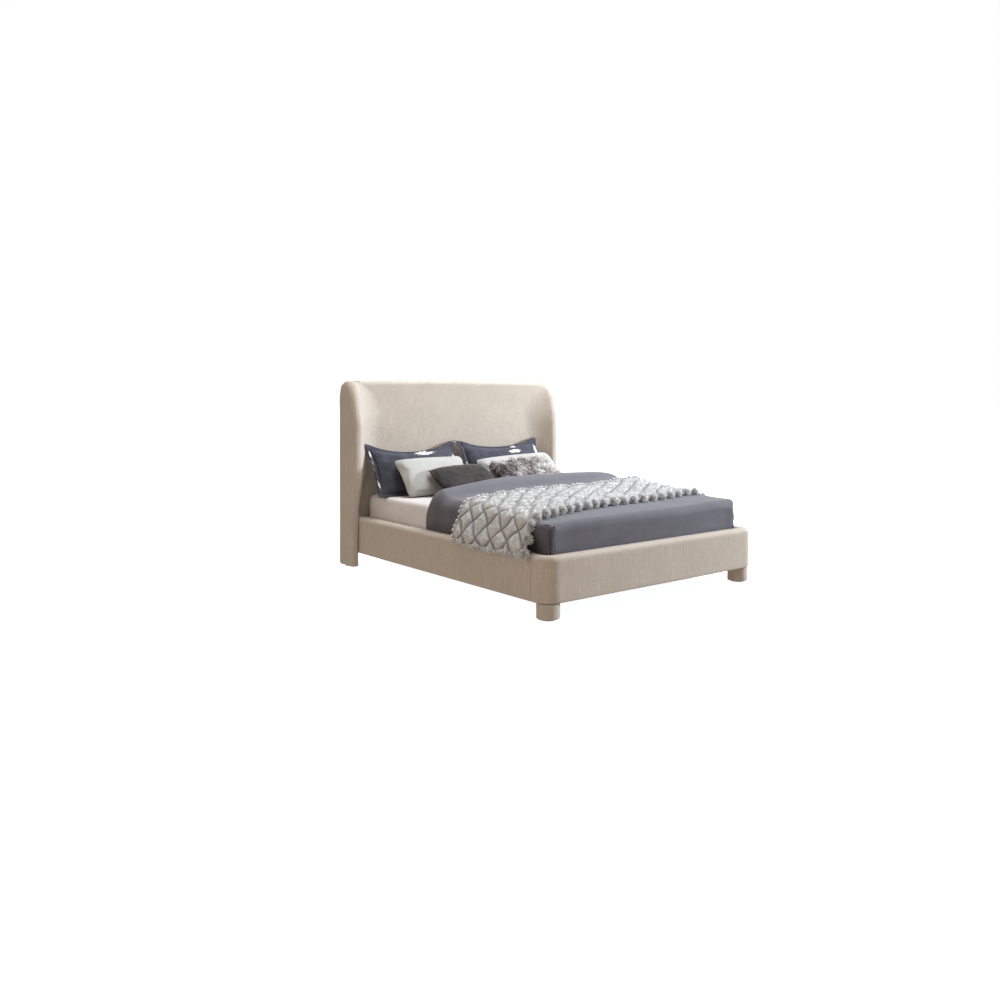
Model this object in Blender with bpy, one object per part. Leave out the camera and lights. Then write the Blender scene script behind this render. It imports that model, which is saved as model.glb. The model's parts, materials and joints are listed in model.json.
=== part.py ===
"""Upholstered wing bed for a queen mattress, with its bedding, as separate named parts.

Metres, +Z up. The origin is on the floor, in the middle of the bed's outline. +Y points to the
headboard and +X to the right, as seen by someone standing at the foot.
"""

import math

import bmesh
import bpy
from mathutils import Matrix, Vector

# ---------------------------------------------------------------- driving dimensions
GAP = 0.0003  # between two parts that touch

BED_LENGTH = 2.24
FRAME_WIDTH = 1.75
HEADBOARD_WIDTH = 1.855
HEADBOARD_HEIGHT = 1.304
FLOOR_CLEARANCE = 0.095  # under the rails and the footboard
RAIL_TOP = 0.344
RAIL_THICKNESS = 0.085
CORNER_RADIUS = 0.10  # the footboard's corners, in plan
RETURN_LENGTH = 0.1325  # from the footboard's face back to the seam with the side rail

PANEL_THICKNESS = 0.108  # the headboard, foam to back board
BACK_BOARD = 0.0067
WING_DEPTH = 0.1945
LEG_THICKNESS = 0.051  # a wing near the floor
WING_THICKNESS = 0.086  # a wing at its nose, beside the pillows
NOSE_RADIUS = 0.042
WING_STRAIGHT_TO = 0.98  # above this height a wing's front edge curves back
CROWN = 0.010  # how far the headboard's top falls towards its ends
CROWN_FROM = 0.9  # the height at which it starts to fall
GLIDE = 0.006

MATTRESS = Vector((1.52, 2.02, 0.2632))
MATTRESS_BASE = 0.2253
SHEET_THICKNESS = 0.003
DUVET_HALF_WIDTH = 0.783
DUVET_FOOT = -1.0342
DUVET_HEAD = 0.335
DUVET_HEM = 0.27
THROW_THICKNESS = 0.018
THROW_SIDES = (-0.775, -0.12)  # its edges towards the foot and towards the head

SLAT_COUNT = 11
SLAT = Vector((1.524, 0.085, 0.0197))
SLAT_BASE = 0.2053
SLAT_PLACES = (-0.950, 0.870)  # the middles of the first and the last
SLAT_EDGE = 0.003
BEAM_WIDTH = 0.05
BEAM_HEIGHT = 0.04
CENTRE_LEG_PLACES = (-0.45, 0.45)
FOOT_RADIUS = 0.0644
FOOT_INSET = 0.0800  # a foot's centre, in from the frame's outer faces

# ---------------------------------------------------------------- worked out from those
FOOT_FACE = -BED_LENGTH / 2
BACK_FACE = BED_LENGTH / 2
COVER_BACK = BACK_FACE - BACK_BOARD - GAP
PANEL_FACE = BACK_FACE - PANEL_THICKNESS
WING_FACE = BACK_FACE - WING_DEPTH
FRAME_HALF = FRAME_WIDTH / 2
HEADBOARD_HALF = HEADBOARD_WIDTH / 2
RAIL_INNER = FRAME_HALF - RAIL_THICKNESS
FOOTBOARD_INNER = FOOT_FACE + RAIL_THICKNESS
SEAM = FOOT_FACE + RETURN_LENGTH
LEG_INNER = HEADBOARD_HALF - LEG_THICKNESS
FOOT_PLACE = (FRAME_HALF - FOOT_INSET, FOOT_FACE + FOOT_INSET)
SHEET_TOP = MATTRESS_BASE + MATTRESS.z + GAP + SHEET_THICKNESS
BEAM_TOP = SLAT_BASE - GAP
BEAM_BASE = BEAM_TOP - BEAM_HEIGHT


# ---------------------------------------------------------------- materials
def material(name, colour, roughness, metallic=0.0):
    """A plain Principled material."""
    made = bpy.data.materials.new(name)
    made.use_nodes = True
    shader = made.node_tree.nodes["Principled BSDF"]
    shader.inputs["Base Color"].default_value = (*colour, 1.0)
    shader.inputs["Roughness"].default_value = roughness
    shader.inputs["Metallic"].default_value = metallic
    made.diffuse_color = (*colour, 1.0)
    return made


def linen(name):
    return material(name, (0.60, 0.52, 0.43), 0.9)


def backing(name):
    return material(name, (0.42, 0.37, 0.31), 0.95)


def pine(name):
    return material(name, (0.62, 0.44, 0.26), 0.6)


def plywood(name):
    return material(name, (0.55, 0.40, 0.25), 0.65)


def steel(name):
    return material(name, (0.35, 0.35, 0.36), 0.4, 1.0)


def plastic(name):
    return material(name, (0.03, 0.03, 0.03), 0.5)


def white_cotton(name):
    return material(name, (0.72, 0.69, 0.66), 0.85)


def grey_cotton(name):
    return material(name, (0.18, 0.18, 0.21), 0.8)


def slate_cotton(name):
    return material(name, (0.06, 0.062, 0.075), 0.8)


def cream_cotton(name):
    return material(name, (0.70, 0.68, 0.63), 0.85)


def velvet(name):
    return material(name, (0.12, 0.11, 0.105), 0.7)


def fur(name):
    return material(name, (0.55, 0.53, 0.52), 0.95)


# ---------------------------------------------------------------- modelling helpers
def start_empty():
    for old in list(bpy.data.objects):
        bpy.data.objects.remove(old, do_unlink=True)


def body(name, place, parent=None):
    """An empty that carries one moving body, at its place in the world."""
    empty = bpy.data.objects.new(name, None)
    bpy.context.scene.collection.objects.link(empty)
    empty.parent = parent
    origin = parent.matrix_world.translation if parent else Vector()
    empty.location = Vector(place) - origin
    bpy.context.view_layer.update()
    return empty


def add(name, bm, paint, parent=None, smooth_angle=40.0):
    """Turns a bmesh in world coordinates into a named object, shaded smooth up to an angle."""
    bmesh.ops.recalc_face_normals(bm, faces=bm.faces)
    mesh = bpy.data.meshes.new(name)
    bm.to_mesh(mesh)
    bm.free()
    made = bpy.data.objects.new(name, mesh)
    bpy.context.scene.collection.objects.link(made)
    mesh.materials.append(paint(name))
    mesh.shade_smooth()
    mesh.set_sharp_from_angle(angle=math.radians(smooth_angle))
    if parent:
        mesh.transform(Matrix.Translation(-parent.matrix_world.translation))
        made.parent = parent
    return made


def loft(rings):
    """A closed body through rings of equally many points, capped at its two ends."""
    bm = bmesh.new()
    rows = [[bm.verts.new(p) for p in ring] for ring in rings]
    count = len(rows[0])
    for low, high in zip(rows, rows[1:]):
        for i in range(count):
            j = (i + 1) % count
            bm.faces.new((low[i], low[j], high[j], high[i]))
    bm.faces.new(list(reversed(rows[0])))
    bm.faces.new(rows[-1])
    return bm


def prism(outline, axis, low, high):
    """A flat outline pushed along one axis, from low to high."""
    def placed(pair, depth):
        point = list(pair)
        point.insert(axis, depth)
        return Vector(point)

    return loft([[placed(pair, depth) for pair in outline] for depth in (low, high)])


def box_mesh(low, high):
    corners = [(low[0], low[1]), (high[0], low[1]), (high[0], high[1]), (low[0], high[1])]
    return prism(corners, 2, low[2], high[2])


def box(name, low, high, paint, parent=None, bevel=0.0, segments=1):
    """A box between two corners, its edges rounded by a bevel where one is given."""
    made = add(name, box_mesh(low, high), paint, parent)
    if bevel:
        rounding = made.modifiers.new("rounding", "BEVEL")
        rounding.width = bevel
        rounding.segments = segments
    return made


def cylinder_mesh(centre, radius, low, high, sides=20):
    outline = [
        (
            centre[0] + radius * math.cos(2 * math.pi * i / sides),
            centre[1] + radius * math.sin(2 * math.pi * i / sides),
        )
        for i in range(sides)
    ]
    return prism(outline, 2, low, high)


def turned(centre, profile, sides=28):
    """A body turned about a vertical axis, from (radius, height) pairs, base first."""
    rings = []
    for radius, height in profile:
        ring = []
        for i in range(sides):
            turn = 2 * math.pi * i / sides
            ring.append((centre[0] + radius * math.cos(turn), centre[1] + radius * math.sin(turn), height))
        rings.append(ring)
    return loft(rings)


def cut(target, name, bm):
    """Cuts a shape out of an object with a Boolean, and keeps the cutter as a hidden guide."""
    bmesh.ops.recalc_face_normals(bm, faces=bm.faces)
    mesh = bpy.data.meshes.new(name)
    bm.to_mesh(mesh)
    bm.free()
    cutter = bpy.data.objects.new(name, mesh)
    bpy.context.scene.collection.objects.link(cutter)
    if target.parent:
        mesh.transform(Matrix.Translation(-target.parent.matrix_world.translation))
        cutter.parent = target.parent
    cutter.hide_render = True
    cutter.display_type = "WIRE"
    difference = target.modifiers.new(name, "BOOLEAN")
    difference.operation = "DIFFERENCE"
    difference.solver = "EXACT"
    difference.object = cutter


def ease(value, low, high):
    """0 below low, 1 above high, and smooth between."""
    share = min(1.0, max(0.0, (value - low) / (high - low)))
    return share * share * (3 - 2 * share)


def between(value, points):
    """A value read from a short list of (place, value) pairs, joined smoothly."""
    for (a, first), (b, second) in zip(points, points[1:]):
        if value <= b:
            return first + (second - first) * ease(value, a, b)
    return points[-1][1]


def arc(centre, radius, start, end, steps):
    """Points on an arc in a plane; the angles are in degrees."""
    points = []
    for i in range(steps + 1):
        turn = math.radians(start + (end - start) * i / steps)
        points.append((centre[0] + radius * math.cos(turn), centre[1] + radius * math.sin(turn)))
    return points


def sides():
    """The left and the right of the bed, as a name ending and a sign."""
    return (("left", -1), ("right", 1))


def flipped(side, low, high):
    """A box's corners on the right side, or mirrored to the left."""
    if side > 0:
        return low, high
    return (-high[0], low[1], low[2]), (-low[0], high[1], high[2])


# ---------------------------------------------------------------- headboard
# Where the flat panel starts to sweep forward into a wing, by height.
SWEEP_ROOT = (
    (0.36, LEG_INNER),
    (0.50, 0.80),
    (0.72, 0.70),
    (0.90, 0.675),
    (1.04, 0.65),
    (1.11, 0.658),
    (1.20, 0.70),
    (1.275, 0.785),
    (HEADBOARD_HEIGHT, 0.84),
)
SWEEP_POWER = 1.4  # how suddenly the panel turns into a wing
TOP_ROUNDING = 0.030
BACK_ROUNDING = 0.018
WING_SWELL = 0.020  # how far a wing's front edge stands forward between its leg and its curve
WING_RAISED = (0.36, 0.60)  # between these heights a leg grows into a wing
LEG_NOSE = 0.014  # the rounding on a leg's front edge
NOSE_SHARE = 0.42  # the most of a wing's depth that one rounding may take
NOSE_TURN = 66.0  # how much further round the nose goes on a leg than on a wing, in degrees
BACK_CORNER = 0.010
PANEL_STEP = (0.30, 0.8)  # a point on the flat panel, and one as a share of the way to the sweep
BACK_STEP = 0.45
SHOULDER = Vector((0.045, 0.139))  # the top outer corner, seen from the foot: width and height
WING_CURVE = Vector((0.160, 0.324))  # a wing's front edge at the top, seen from the side
WING_CURVE_POWER = 2.6


def bent_back(height, rounding):
    """How far a rounded top edge has gone back at a height."""
    rise = max(0.0, height - (HEADBOARD_HEIGHT - rounding))
    return rounding - math.sqrt(max(0.0, rounding**2 - rise**2))


def half_width(height):
    rise = max(0.0, height - (HEADBOARD_HEIGHT - SHOULDER.y)) / SHOULDER.y
    return HEADBOARD_HALF - SHOULDER.x * (1 - math.sqrt(max(0.0, 1 - rise**2)))


def wing_front(height):
    """Where a wing's front edge is at a height."""
    swelling = ease(height, 0.40, 0.64) * (1 - ease(height, WING_STRAIGHT_TO, 1.18))
    start = WING_FACE - WING_SWELL * swelling
    rise = min(1.0, max(0.0, height - WING_STRAIGHT_TO) / WING_CURVE.y)
    back = WING_CURVE.x * (1 - (1 - rise**WING_CURVE_POWER) ** (1 / WING_CURVE_POWER))
    return start + back


def headboard_half_ring(height):
    """The headboard's outline at one height, from the panel's middle round a wing to the back."""
    raised = ease(height, *WING_RAISED)
    back = COVER_BACK - bent_back(height, BACK_ROUNDING)
    panel = PANEL_FACE + bent_back(height, TOP_ROUNDING)
    half = half_width(height)
    front = wing_front(height)
    radius = min(LEG_NOSE + (NOSE_RADIUS - LEG_NOSE) * raised, NOSE_SHARE * (back - front))
    thickness = max(LEG_THICKNESS + (WING_THICKNESS - LEG_THICKNESS) * raised, 2 * radius)
    inner_turn = -180 + NOSE_TURN * raised
    outer = arc((half - radius, front + radius), radius, 0, -90, 4)
    inner = arc((half - thickness + radius, front + radius), radius, -92, inner_turn, 3)
    root = min(between(height, SWEEP_ROOT), inner[-1][0])
    sweep = []
    for i in range(1, 6):
        share = i / 6
        across = root + (inner[-1][0] - root) * share
        sweep.append((across, panel + (inner[-1][1] - panel) * share**SWEEP_POWER))
    return (
        [(PANEL_STEP[0], panel), (root * PANEL_STEP[1], panel), (root, panel)]
        + sweep
        + list(reversed(inner))
        + list(reversed(outer))
        + [(half, back - BACK_CORNER), (half - BACK_CORNER, back), (BACK_STEP, back)]
    )


def headboard_ring(height):
    """The whole outline, its top lowered towards the ends by the crown."""
    half = headboard_half_ring(height)
    ring = [(-x, y) for x, y in reversed(half)] + half
    lowered = ease(height, CROWN_FROM, HEADBOARD_HEIGHT) * CROWN
    return [(x, y, height - lowered * (x / HEADBOARD_HALF) ** 2) for x, y in ring]


HEADBOARD_LEVELS = (
    GLIDE + GAP, 0.10, 0.36, 0.42, 0.48, 0.54, 0.62, 0.75, 0.90, 0.98, 1.05, 1.11,
    1.16, 1.20, 1.235, 1.26, 1.275, 1.287, 1.296, 1.302, HEADBOARD_HEIGHT,
)
POST = (HEADBOARD_HALF - 0.040, HEADBOARD_HALF - 0.010)  # the timber in a wing, from inside to outside
FACE_BOARD = (PANEL_FACE + 0.036, PANEL_FACE + 0.045)
FRAME_TIMBER = (FACE_BOARD[1] + GAP, COVER_BACK - 0.004)
POST_TOP = 1.15
CAVITY_TOP = 1.225
PANEL_BASE = 0.10
CAVITY_BASE = 0.115
WING_FRAME = (HEADBOARD_HALF - 0.0345, HEADBOARD_HALF - 0.0165)
WING_FRAME_FRONT = WING_FACE + 0.030
WING_FRAME_TOP = 1.05
TIMBER_BASE = 0.02  # the posts and wing frames start this high
CAVITY_SHOULDER = 0.86  # half the cavity's width along its top
FACE_BOARD_TOP = ((POST[0] - GAP, 1.17), (0.85, 1.2215))  # its upper outline on the right
RAIL_HALF = POST[0] - GAP
# The timber rails in the headboard: name, half length, low and high.
HEADBOARD_RAILS = (
    ("top", 0.865, 1.150, 1.205),
    ("middle", RAIL_HALF, 0.62, 0.69),
    ("bottom", RAIL_HALF, CAVITY_BASE, 0.25),
)
BACK_PANEL_INSET = 0.006
BACK_PANEL_LEG = 0.004  # the back board's margin round a leg
CLEAR_OF = 0.2  # how far a cutter runs past the part that it cuts


def cavity_outline(slack):
    """The hollow in the headboard's back that its timber frame stands in, seen from the foot."""
    inner, outer = POST[0] - slack, POST[1] + slack
    low, floor = TIMBER_BASE - slack, CAVITY_BASE - slack
    right = [(inner, floor), (inner, low), (outer, low), (outer, POST_TOP + slack)]
    right.append((CAVITY_SHOULDER, CAVITY_TOP))
    return right + [(-x, z) for x, z in reversed(right)]


def headboard_cover():
    """Foam and linen over the whole headboard, open at the back for the timber frame."""
    cover = add("headboard_cover", loft([headboard_ring(z) for z in HEADBOARD_LEVELS]), linen)
    low = (-LEG_INNER, WING_FACE - CLEAR_OF, -CLEAR_OF)
    cut(cover, "arch_cutter", box_mesh(low, (LEG_INNER, BACK_FACE + CLEAR_OF, PANEL_BASE)))
    cut(cover, "cavity_cutter", prism(cavity_outline(GAP), 1, FACE_BOARD[0] - GAP, BACK_FACE + CLEAR_OF))
    for name, side in sides():
        low, high = flipped(
            side,
            (WING_FRAME[0] - GAP, WING_FRAME_FRONT - GAP, TIMBER_BASE - GAP),
            (WING_FRAME[1] + GAP, (FRAME_TIMBER[0] + FRAME_TIMBER[1]) / 2, WING_FRAME_TOP + GAP),
        )
        cut(cover, f"wing_cutter_{name}", box_mesh(low, high))


def headboard_back_panel():
    """The covered board that closes the headboard's back, down to both legs."""
    half = HEADBOARD_HALF - BACK_PANEL_INSET
    leg, floor = LEG_INNER + BACK_PANEL_LEG, GLIDE + BACK_PANEL_LEG
    right = [(leg, PANEL_BASE + BACK_PANEL_INSET), (leg, floor), (half, floor)]
    right += [(half_width(z) - BACK_PANEL_INSET, z) for z in (1.16, 1.21, 1.25, 1.27)]
    outline = right + [(-x, z) for x, z in reversed(right)]
    add("headboard_back_panel", prism(outline, 1, COVER_BACK + GAP, BACK_FACE), backing)


def headboard_frame():
    """The timber inside the headboard: a face board, two posts, three rails and two wing frames."""
    low_y, high_y = FRAME_TIMBER
    right = [(RAIL_HALF, CAVITY_BASE), *FACE_BOARD_TOP]
    outline = right + [(-x, z) for x, z in reversed(right)]
    add("headboard_face_board", prism(outline, 1, *FACE_BOARD), plywood)
    for name, half, low, high in HEADBOARD_RAILS:
        box(f"headboard_{name}_rail", (-half, low_y, low), (half, high_y, high), pine)
    for name, side in sides():
        corners = flipped(side, (POST[0], low_y, TIMBER_BASE), (POST[1], high_y, POST_TOP))
        box(f"headboard_post_{name}", *corners, pine)
        low = (WING_FRAME[0], WING_FRAME_FRONT, TIMBER_BASE)
        high = (WING_FRAME[1], low_y - GAP, WING_FRAME_TOP)
        box(f"wing_frame_{name}", *flipped(side, low, high), plywood)


GLIDE_RADIUS = 0.021
GLIDE_EDGE = 0.002


def headboard_glides():
    middle = (LEG_INNER + HEADBOARD_HALF) / 2
    profile = ((GLIDE_RADIUS - GLIDE_EDGE, 0.0), (GLIDE_RADIUS, GLIDE_EDGE), (GLIDE_RADIUS, GLIDE))
    for name, side in sides():
        place = (side * middle, (WING_FACE + BACK_FACE) / 2)
        add(f"headboard_glide_{name}", turned(place, profile, 20), plastic)


# ---------------------------------------------------------------- rails and footboard
def rail_section(base, top, outer_rounding=0.030, inner_rounding=0.020, foot_rounding=0.010):
    """A rail's cross-section: distances in from its outer face, and heights."""
    deep = RAIL_THICKNESS
    return (
        arc((foot_rounding, base + foot_rounding), foot_rounding, 270, 180, 2)
        + arc((outer_rounding, top - outer_rounding), outer_rounding, 180, 90, 4)
        + arc((deep - inner_rounding, top - inner_rounding), inner_rounding, 90, 0, 3)
        + arc((deep - foot_rounding, base + foot_rounding), foot_rounding, 0, -90, 2)
    )


BOARD_THICKNESS = 0.025  # the timber in a rail
BOARD_HEIGHT = 0.20
BOARD_BASE = 0.110
BOARD_HEAD = 0.0125  # the timber stops this far short of the headboard
BOARD_FOOT = 0.001  # and starts this far behind the seam
FOOTBOARD_INSET = 0.020  # the footboard's timber, in from the rails' inner faces
HEAD_JOINT = PANEL_FACE - GAP


def side_rails():
    """Each side rail: a padded cover with its timber board, open towards the mattress."""
    section = rail_section(FLOOR_CLEARANCE, RAIL_TOP)
    for name, side in sides():
        rings = [
            [(side * (FRAME_HALF - deep), y, z) for deep, z in section] for y in (SEAM + GAP, HEAD_JOINT)
        ]
        cover = add(f"side_rail_cover_{name}", loft(rings), linen)
        low = (RAIL_INNER - CLEAR_OF, SEAM - CLEAR_OF, BOARD_BASE - GAP)
        deep, top = RAIL_INNER + BOARD_THICKNESS, BOARD_BASE + BOARD_HEIGHT
        high = (deep + GAP, HEAD_JOINT - BOARD_HEAD + GAP, top + GAP)
        cut(cover, f"side_rail_cutter_{name}", box_mesh(*flipped(side, low, high)))
        low = (RAIL_INNER, SEAM + BOARD_FOOT, BOARD_BASE)
        high = (deep, HEAD_JOINT - BOARD_HEAD, top)
        box(f"side_rail_board_{name}", *flipped(side, low, high), pine)


def footboard_path():
    """The footboard's outer face in plan, with the direction that points into the bed."""
    right = [(FRAME_HALF, SEAM, -1.0, 0.0), (FRAME_HALF, FOOT_FACE + CORNER_RADIUS, -1.0, 0.0)]
    centre = (FRAME_HALF - CORNER_RADIUS, FOOT_FACE + CORNER_RADIUS)
    steps = 7
    for i in range(1, steps + 1):
        turn = math.radians(-90 * i / steps)
        right.append(
            (
                centre[0] + CORNER_RADIUS * math.cos(turn),
                centre[1] + CORNER_RADIUS * math.sin(turn),
                -math.cos(turn),
                -math.sin(turn),
            )
        )
    return right + [(-x, y, -inx, iny) for x, y, inx, iny in reversed(right)]


def footboard():
    """The footboard's padded cover bends round both corners to the seams; a board stiffens it."""
    section = rail_section(FLOOR_CLEARANCE, RAIL_TOP)
    rings = [
        [(x + inx * deep, y + iny * deep, z) for deep, z in section] for x, y, inx, iny in footboard_path()
    ]
    cover = add("footboard_cover", loft(rings), linen)
    half = RAIL_INNER - FOOTBOARD_INSET
    low = (-half - GAP, FOOTBOARD_INNER - BOARD_THICKNESS - GAP, BOARD_BASE - GAP)
    high = (half + GAP, FOOTBOARD_INNER + RAIL_THICKNESS / 2, BOARD_BASE + BOARD_HEIGHT + GAP)
    cut(cover, "footboard_cutter", box_mesh(low, high))
    low = (-half, FOOTBOARD_INNER - BOARD_THICKNESS, BOARD_BASE)
    high = (half, FOOTBOARD_INNER, BOARD_BASE + BOARD_HEIGHT)
    box("footboard_board", low, high, pine)


def corner_blocks():
    """A block in each foot corner ties the footboard to its return and carries the foot."""
    chamfer, width, depth, top = 0.016, 0.090, 0.085, 0.200
    for name, side in sides():
        outer, front = RAIL_INNER - GAP, FOOTBOARD_INNER + GAP
        outline = [
            (outer - width, front),
            (outer - chamfer, front),
            (outer, front + chamfer),
            (outer, front + depth),
            (outer - width, front + depth),
        ]
        outline = [(side * x, y) for x, y in outline]
        add(f"corner_block_{name}", prism(outline, 2, FLOOR_CLEARANCE, top), pine)


def rail_brackets():
    """An angled steel plate joins each side rail to the headboard."""
    thick, long_arm, short_arm, low, high = 0.003, 0.080, 0.022, 0.125, 0.225
    for name, side in sides():
        outer = RAIL_INNER - GAP
        corner = HEAD_JOINT
        outline = [
            (outer, corner - long_arm),
            (outer, corner),
            (outer - short_arm, corner),
            (outer - short_arm, corner - thick),
            (outer - thick, corner - thick),
            (outer - thick, corner - long_arm),
        ]
        outline = [(side * x, y) for x, y in outline]
        add(f"rail_bracket_{name}", prism(outline, 2, low, high), steel)


def slat_cleats():
    """A strip along each side rail that the slats rest on."""
    width, height, foot_gap, head_gap = 0.040, 0.040, 0.090, 0.085
    for name, side in sides():
        low = (RAIL_INNER - width, FOOTBOARD_INNER + foot_gap, SLAT_BASE - GAP - height)
        high = (RAIL_INNER - GAP, HEAD_JOINT - head_gap, SLAT_BASE - GAP)
        box(f"slat_cleat_{name}", *flipped(side, low, high), pine)


# ---------------------------------------------------------------- feet
FOOT_PLATE = Vector((0.040, 0.040, 0.003))  # half its sides, and its thickness
FOOT_TOP = FLOOR_CLEARANCE - FOOT_PLATE.z - 2 * GAP
FOOT_ROLL = ((0.006, 0.0), (0.0015, 0.002 - GAP), (0.0, 0.007 - GAP))  # its lower edge: inwards, and up
FOOT_CROWN = ((0.0, 0.003), (0.002, 0.0))  # its upper edge: inwards, and down
BOLT_RADIUS = 0.004
BOLT_BASE = 0.032
BOLT_SLACK = Vector((0.0005, 0.002))  # round the bolt, and under it
FOOT_GLIDE = FOOT_RADIUS - 0.018


def front_feet():
    """Each front foot: a linen drum on a glide, bolted to a steel plate under its corner."""
    profile = [(FOOT_RADIUS - inward, GLIDE + GAP + up) for inward, up in FOOT_ROLL]
    profile += [(FOOT_RADIUS - inward, FOOT_TOP - down) for inward, down in FOOT_CROWN]
    for name, side in sides():
        place = (side * FOOT_PLACE[0], FOOT_PLACE[1])
        drum = add(f"foot_{name}", turned(place, profile, 32), linen)
        bore = cylinder_mesh(place, BOLT_RADIUS + BOLT_SLACK.x, BOLT_BASE - BOLT_SLACK.y, CLEAR_OF, 12)
        cut(drum, f"foot_cutter_{name}", bore)
        add(f"foot_bolt_{name}", cylinder_mesh(place, BOLT_RADIUS, BOLT_BASE, FOOT_TOP, 12), steel)
        low = (place[0] - FOOT_PLATE.x, place[1] - FOOT_PLATE.y, FOOT_TOP + GAP)
        high = (place[0] + FOOT_PLATE.x, place[1] + FOOT_PLATE.y, FLOOR_CLEARANCE - GAP)
        box(f"foot_plate_{name}", low, high, steel)
        glide = ((FOOT_GLIDE - GLIDE_EDGE, 0.0), (FOOT_GLIDE, GLIDE_EDGE), (FOOT_GLIDE, GLIDE))
        add(f"foot_glide_{name}", turned(place, glide), plastic)


# ---------------------------------------------------------------- mattress support
def centre_beam():
    """A beam down the middle, held at each end in a steel shoe."""
    half = BEAM_WIDTH / 2
    wall, lip, short = 0.0025, 0.045, 0.004
    low_y, high_y = FOOTBOARD_INNER + short, HEAD_JOINT - short
    box("centre_beam", (-half, low_y, BEAM_BASE), (half, high_y, BEAM_TOP), pine)
    inner, outer = half + GAP, half + GAP + wall
    floor, base, top = BEAM_BASE - GAP, BEAM_BASE - GAP - wall, BEAM_TOP - short
    outline = [
        (-outer, base), (outer, base), (outer, top), (inner, top), (inner, floor),
        (-inner, floor), (-inner, top), (-outer, top),
    ]
    shoes = (("foot", FOOTBOARD_INNER + GAP, FOOTBOARD_INNER + lip), ("head", HEAD_JOINT - lip, HEAD_JOINT))
    for name, low, high in shoes:
        add(f"beam_shoe_{name}", prism(outline, 1, low, high), steel)


CENTRE_LEG_HALF = 0.0225
CENTRE_LEG_BASE = 0.020
CENTRE_LEG_EDGE = 0.002
SCREW_BORE = 0.0065
SCREW_BORE_TOP = 0.060
# A levelling glide from its base up to its screw's end: radius and height.
SCREW_GLIDE = (
    (0.016, 0.0), (0.018, 0.002), (0.018, 0.007), (0.006, 0.008), (0.006, 0.042), (0.005, 0.044),
)


def centre_legs(frame):
    """Legs under the beam, each with a screw-in glide that levels it."""
    half, base = CENTRE_LEG_HALF, CENTRE_LEG_BASE
    for name, y in zip(("front", "rear"), CENTRE_LEG_PLACES):
        low, high = (-half, y - half, base), (half, y + half, BEAM_BASE - GAP)
        leg = box(f"centre_leg_{name}", low, high, pine, bevel=CENTRE_LEG_EDGE)
        bore = cylinder_mesh((0, y), SCREW_BORE, -SCREW_BORE_TOP, SCREW_BORE_TOP, 16)
        cut(leg, f"centre_leg_cutter_{name}", bore)
        glide = body(f"glide_{name}", (0, y, 0), frame)
        add(f"centre_glide_{name}", turned((0, y), SCREW_GLIDE, 20), plastic, glide)


def slats():
    """Flat slats across the cleats and the beam."""
    half = SLAT.x / 2
    first, last = SLAT_PLACES
    for i in range(SLAT_COUNT):
        middle = first + (last - first) * i / (SLAT_COUNT - 1)
        low = (-half, middle - SLAT.y / 2, SLAT_BASE)
        high = (half, middle + SLAT.y / 2, SLAT_BASE + SLAT.z)
        box(f"slat_{i + 1:02d}", low, high, plywood, bevel=SLAT_EDGE)


# ---------------------------------------------------------------- mattress and sheet
MATTRESS_HALF = MATTRESS.x / 2
MATTRESS_FOOT = -1.0165
MATTRESS_CORNER = 0.045
SHEET_HEM = 0.240


def rounded_plan(half, low_y, high_y, radius, steps=3):
    """A rectangle in plan with round corners."""
    return (
        arc((half - radius, low_y + radius), radius, -90, 0, steps)
        + arc((half - radius, high_y - radius), radius, 0, 90, steps)
        + arc((-half + radius, high_y - radius), radius, 90, 180, steps)
        + arc((-half + radius, low_y + radius), radius, 180, 270, steps)
    )


def block_rings(grow, base, top, edge=0.030):
    """Rings up a mattress-shaped block with a rounded top edge, grown outwards by a little."""
    rings = []
    profile = [(0.0, base)] + [(edge - dx, top - edge + dz) for dx, dz in arc((0, 0), edge, 0, 90, 3)]
    for inward, height in profile:
        plan = rounded_plan(
            MATTRESS_HALF + grow - inward,
            MATTRESS_FOOT - grow + inward,
            MATTRESS_FOOT + MATTRESS.y + grow - inward,
            MATTRESS_CORNER + grow - inward / 2,
        )
        rings.append([(x, y, height) for x, y in plan])
    return rings


def mattress(carrier):
    top = MATTRESS_BASE + MATTRESS.z
    add("mattress", loft(block_rings(0.0, MATTRESS_BASE, top)), white_cotton, carrier)


def fitted_sheet(carrier):
    """A skin over the mattress's top and sides, open underneath."""
    outer = block_rings(GAP + SHEET_THICKNESS, SHEET_HEM, SHEET_TOP)
    inner = block_rings(GAP, SHEET_HEM, SHEET_TOP - SHEET_THICKNESS)
    add("fitted_sheet", loft(list(reversed(inner)) + outer), white_cotton, carrier)


# ---------------------------------------------------------------- duvet and throw
# The duvet's top: thin and pulled tight at the foot, thick where it is turned back at the head.
DUVET_TOP = ((-1.03, 0.512), (-0.75, 0.518), (-0.12, 0.572), (0.26, 0.606), (0.40, 0.606))
DUVET_SHOULDER = ((-1.03, 0.020), (-0.75, 0.030), (0.0, 0.065), (0.40, 0.085))
DUVET_CROWN = 0.012
DUVET_QUARTER = (0.55, 0.35)  # a point on the crown: share of the half width, and of the crown's fall
DUVET_STATIONS = (-0.75, -0.55, -0.35, -0.12, 0.08)
DUVET_FOOT_ROUNDING = ((0.0, 0.016), (0.006, 0.008), (0.020, 0.0))  # back from the foot, and in
DUVET_HEAD_ROUNDING = ((0.270, 0.0), (0.305, 0.012), (0.325, 0.035), (DUVET_HEAD, 0.075))  # place, and in


def straight_between(value, points):
    for (a, first), (b, second) in zip(points, points[1:]):
        if value <= b:
            return first + (second - first) * max(0.0, (value - a) / (b - a))
    return points[-1][1]


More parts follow.
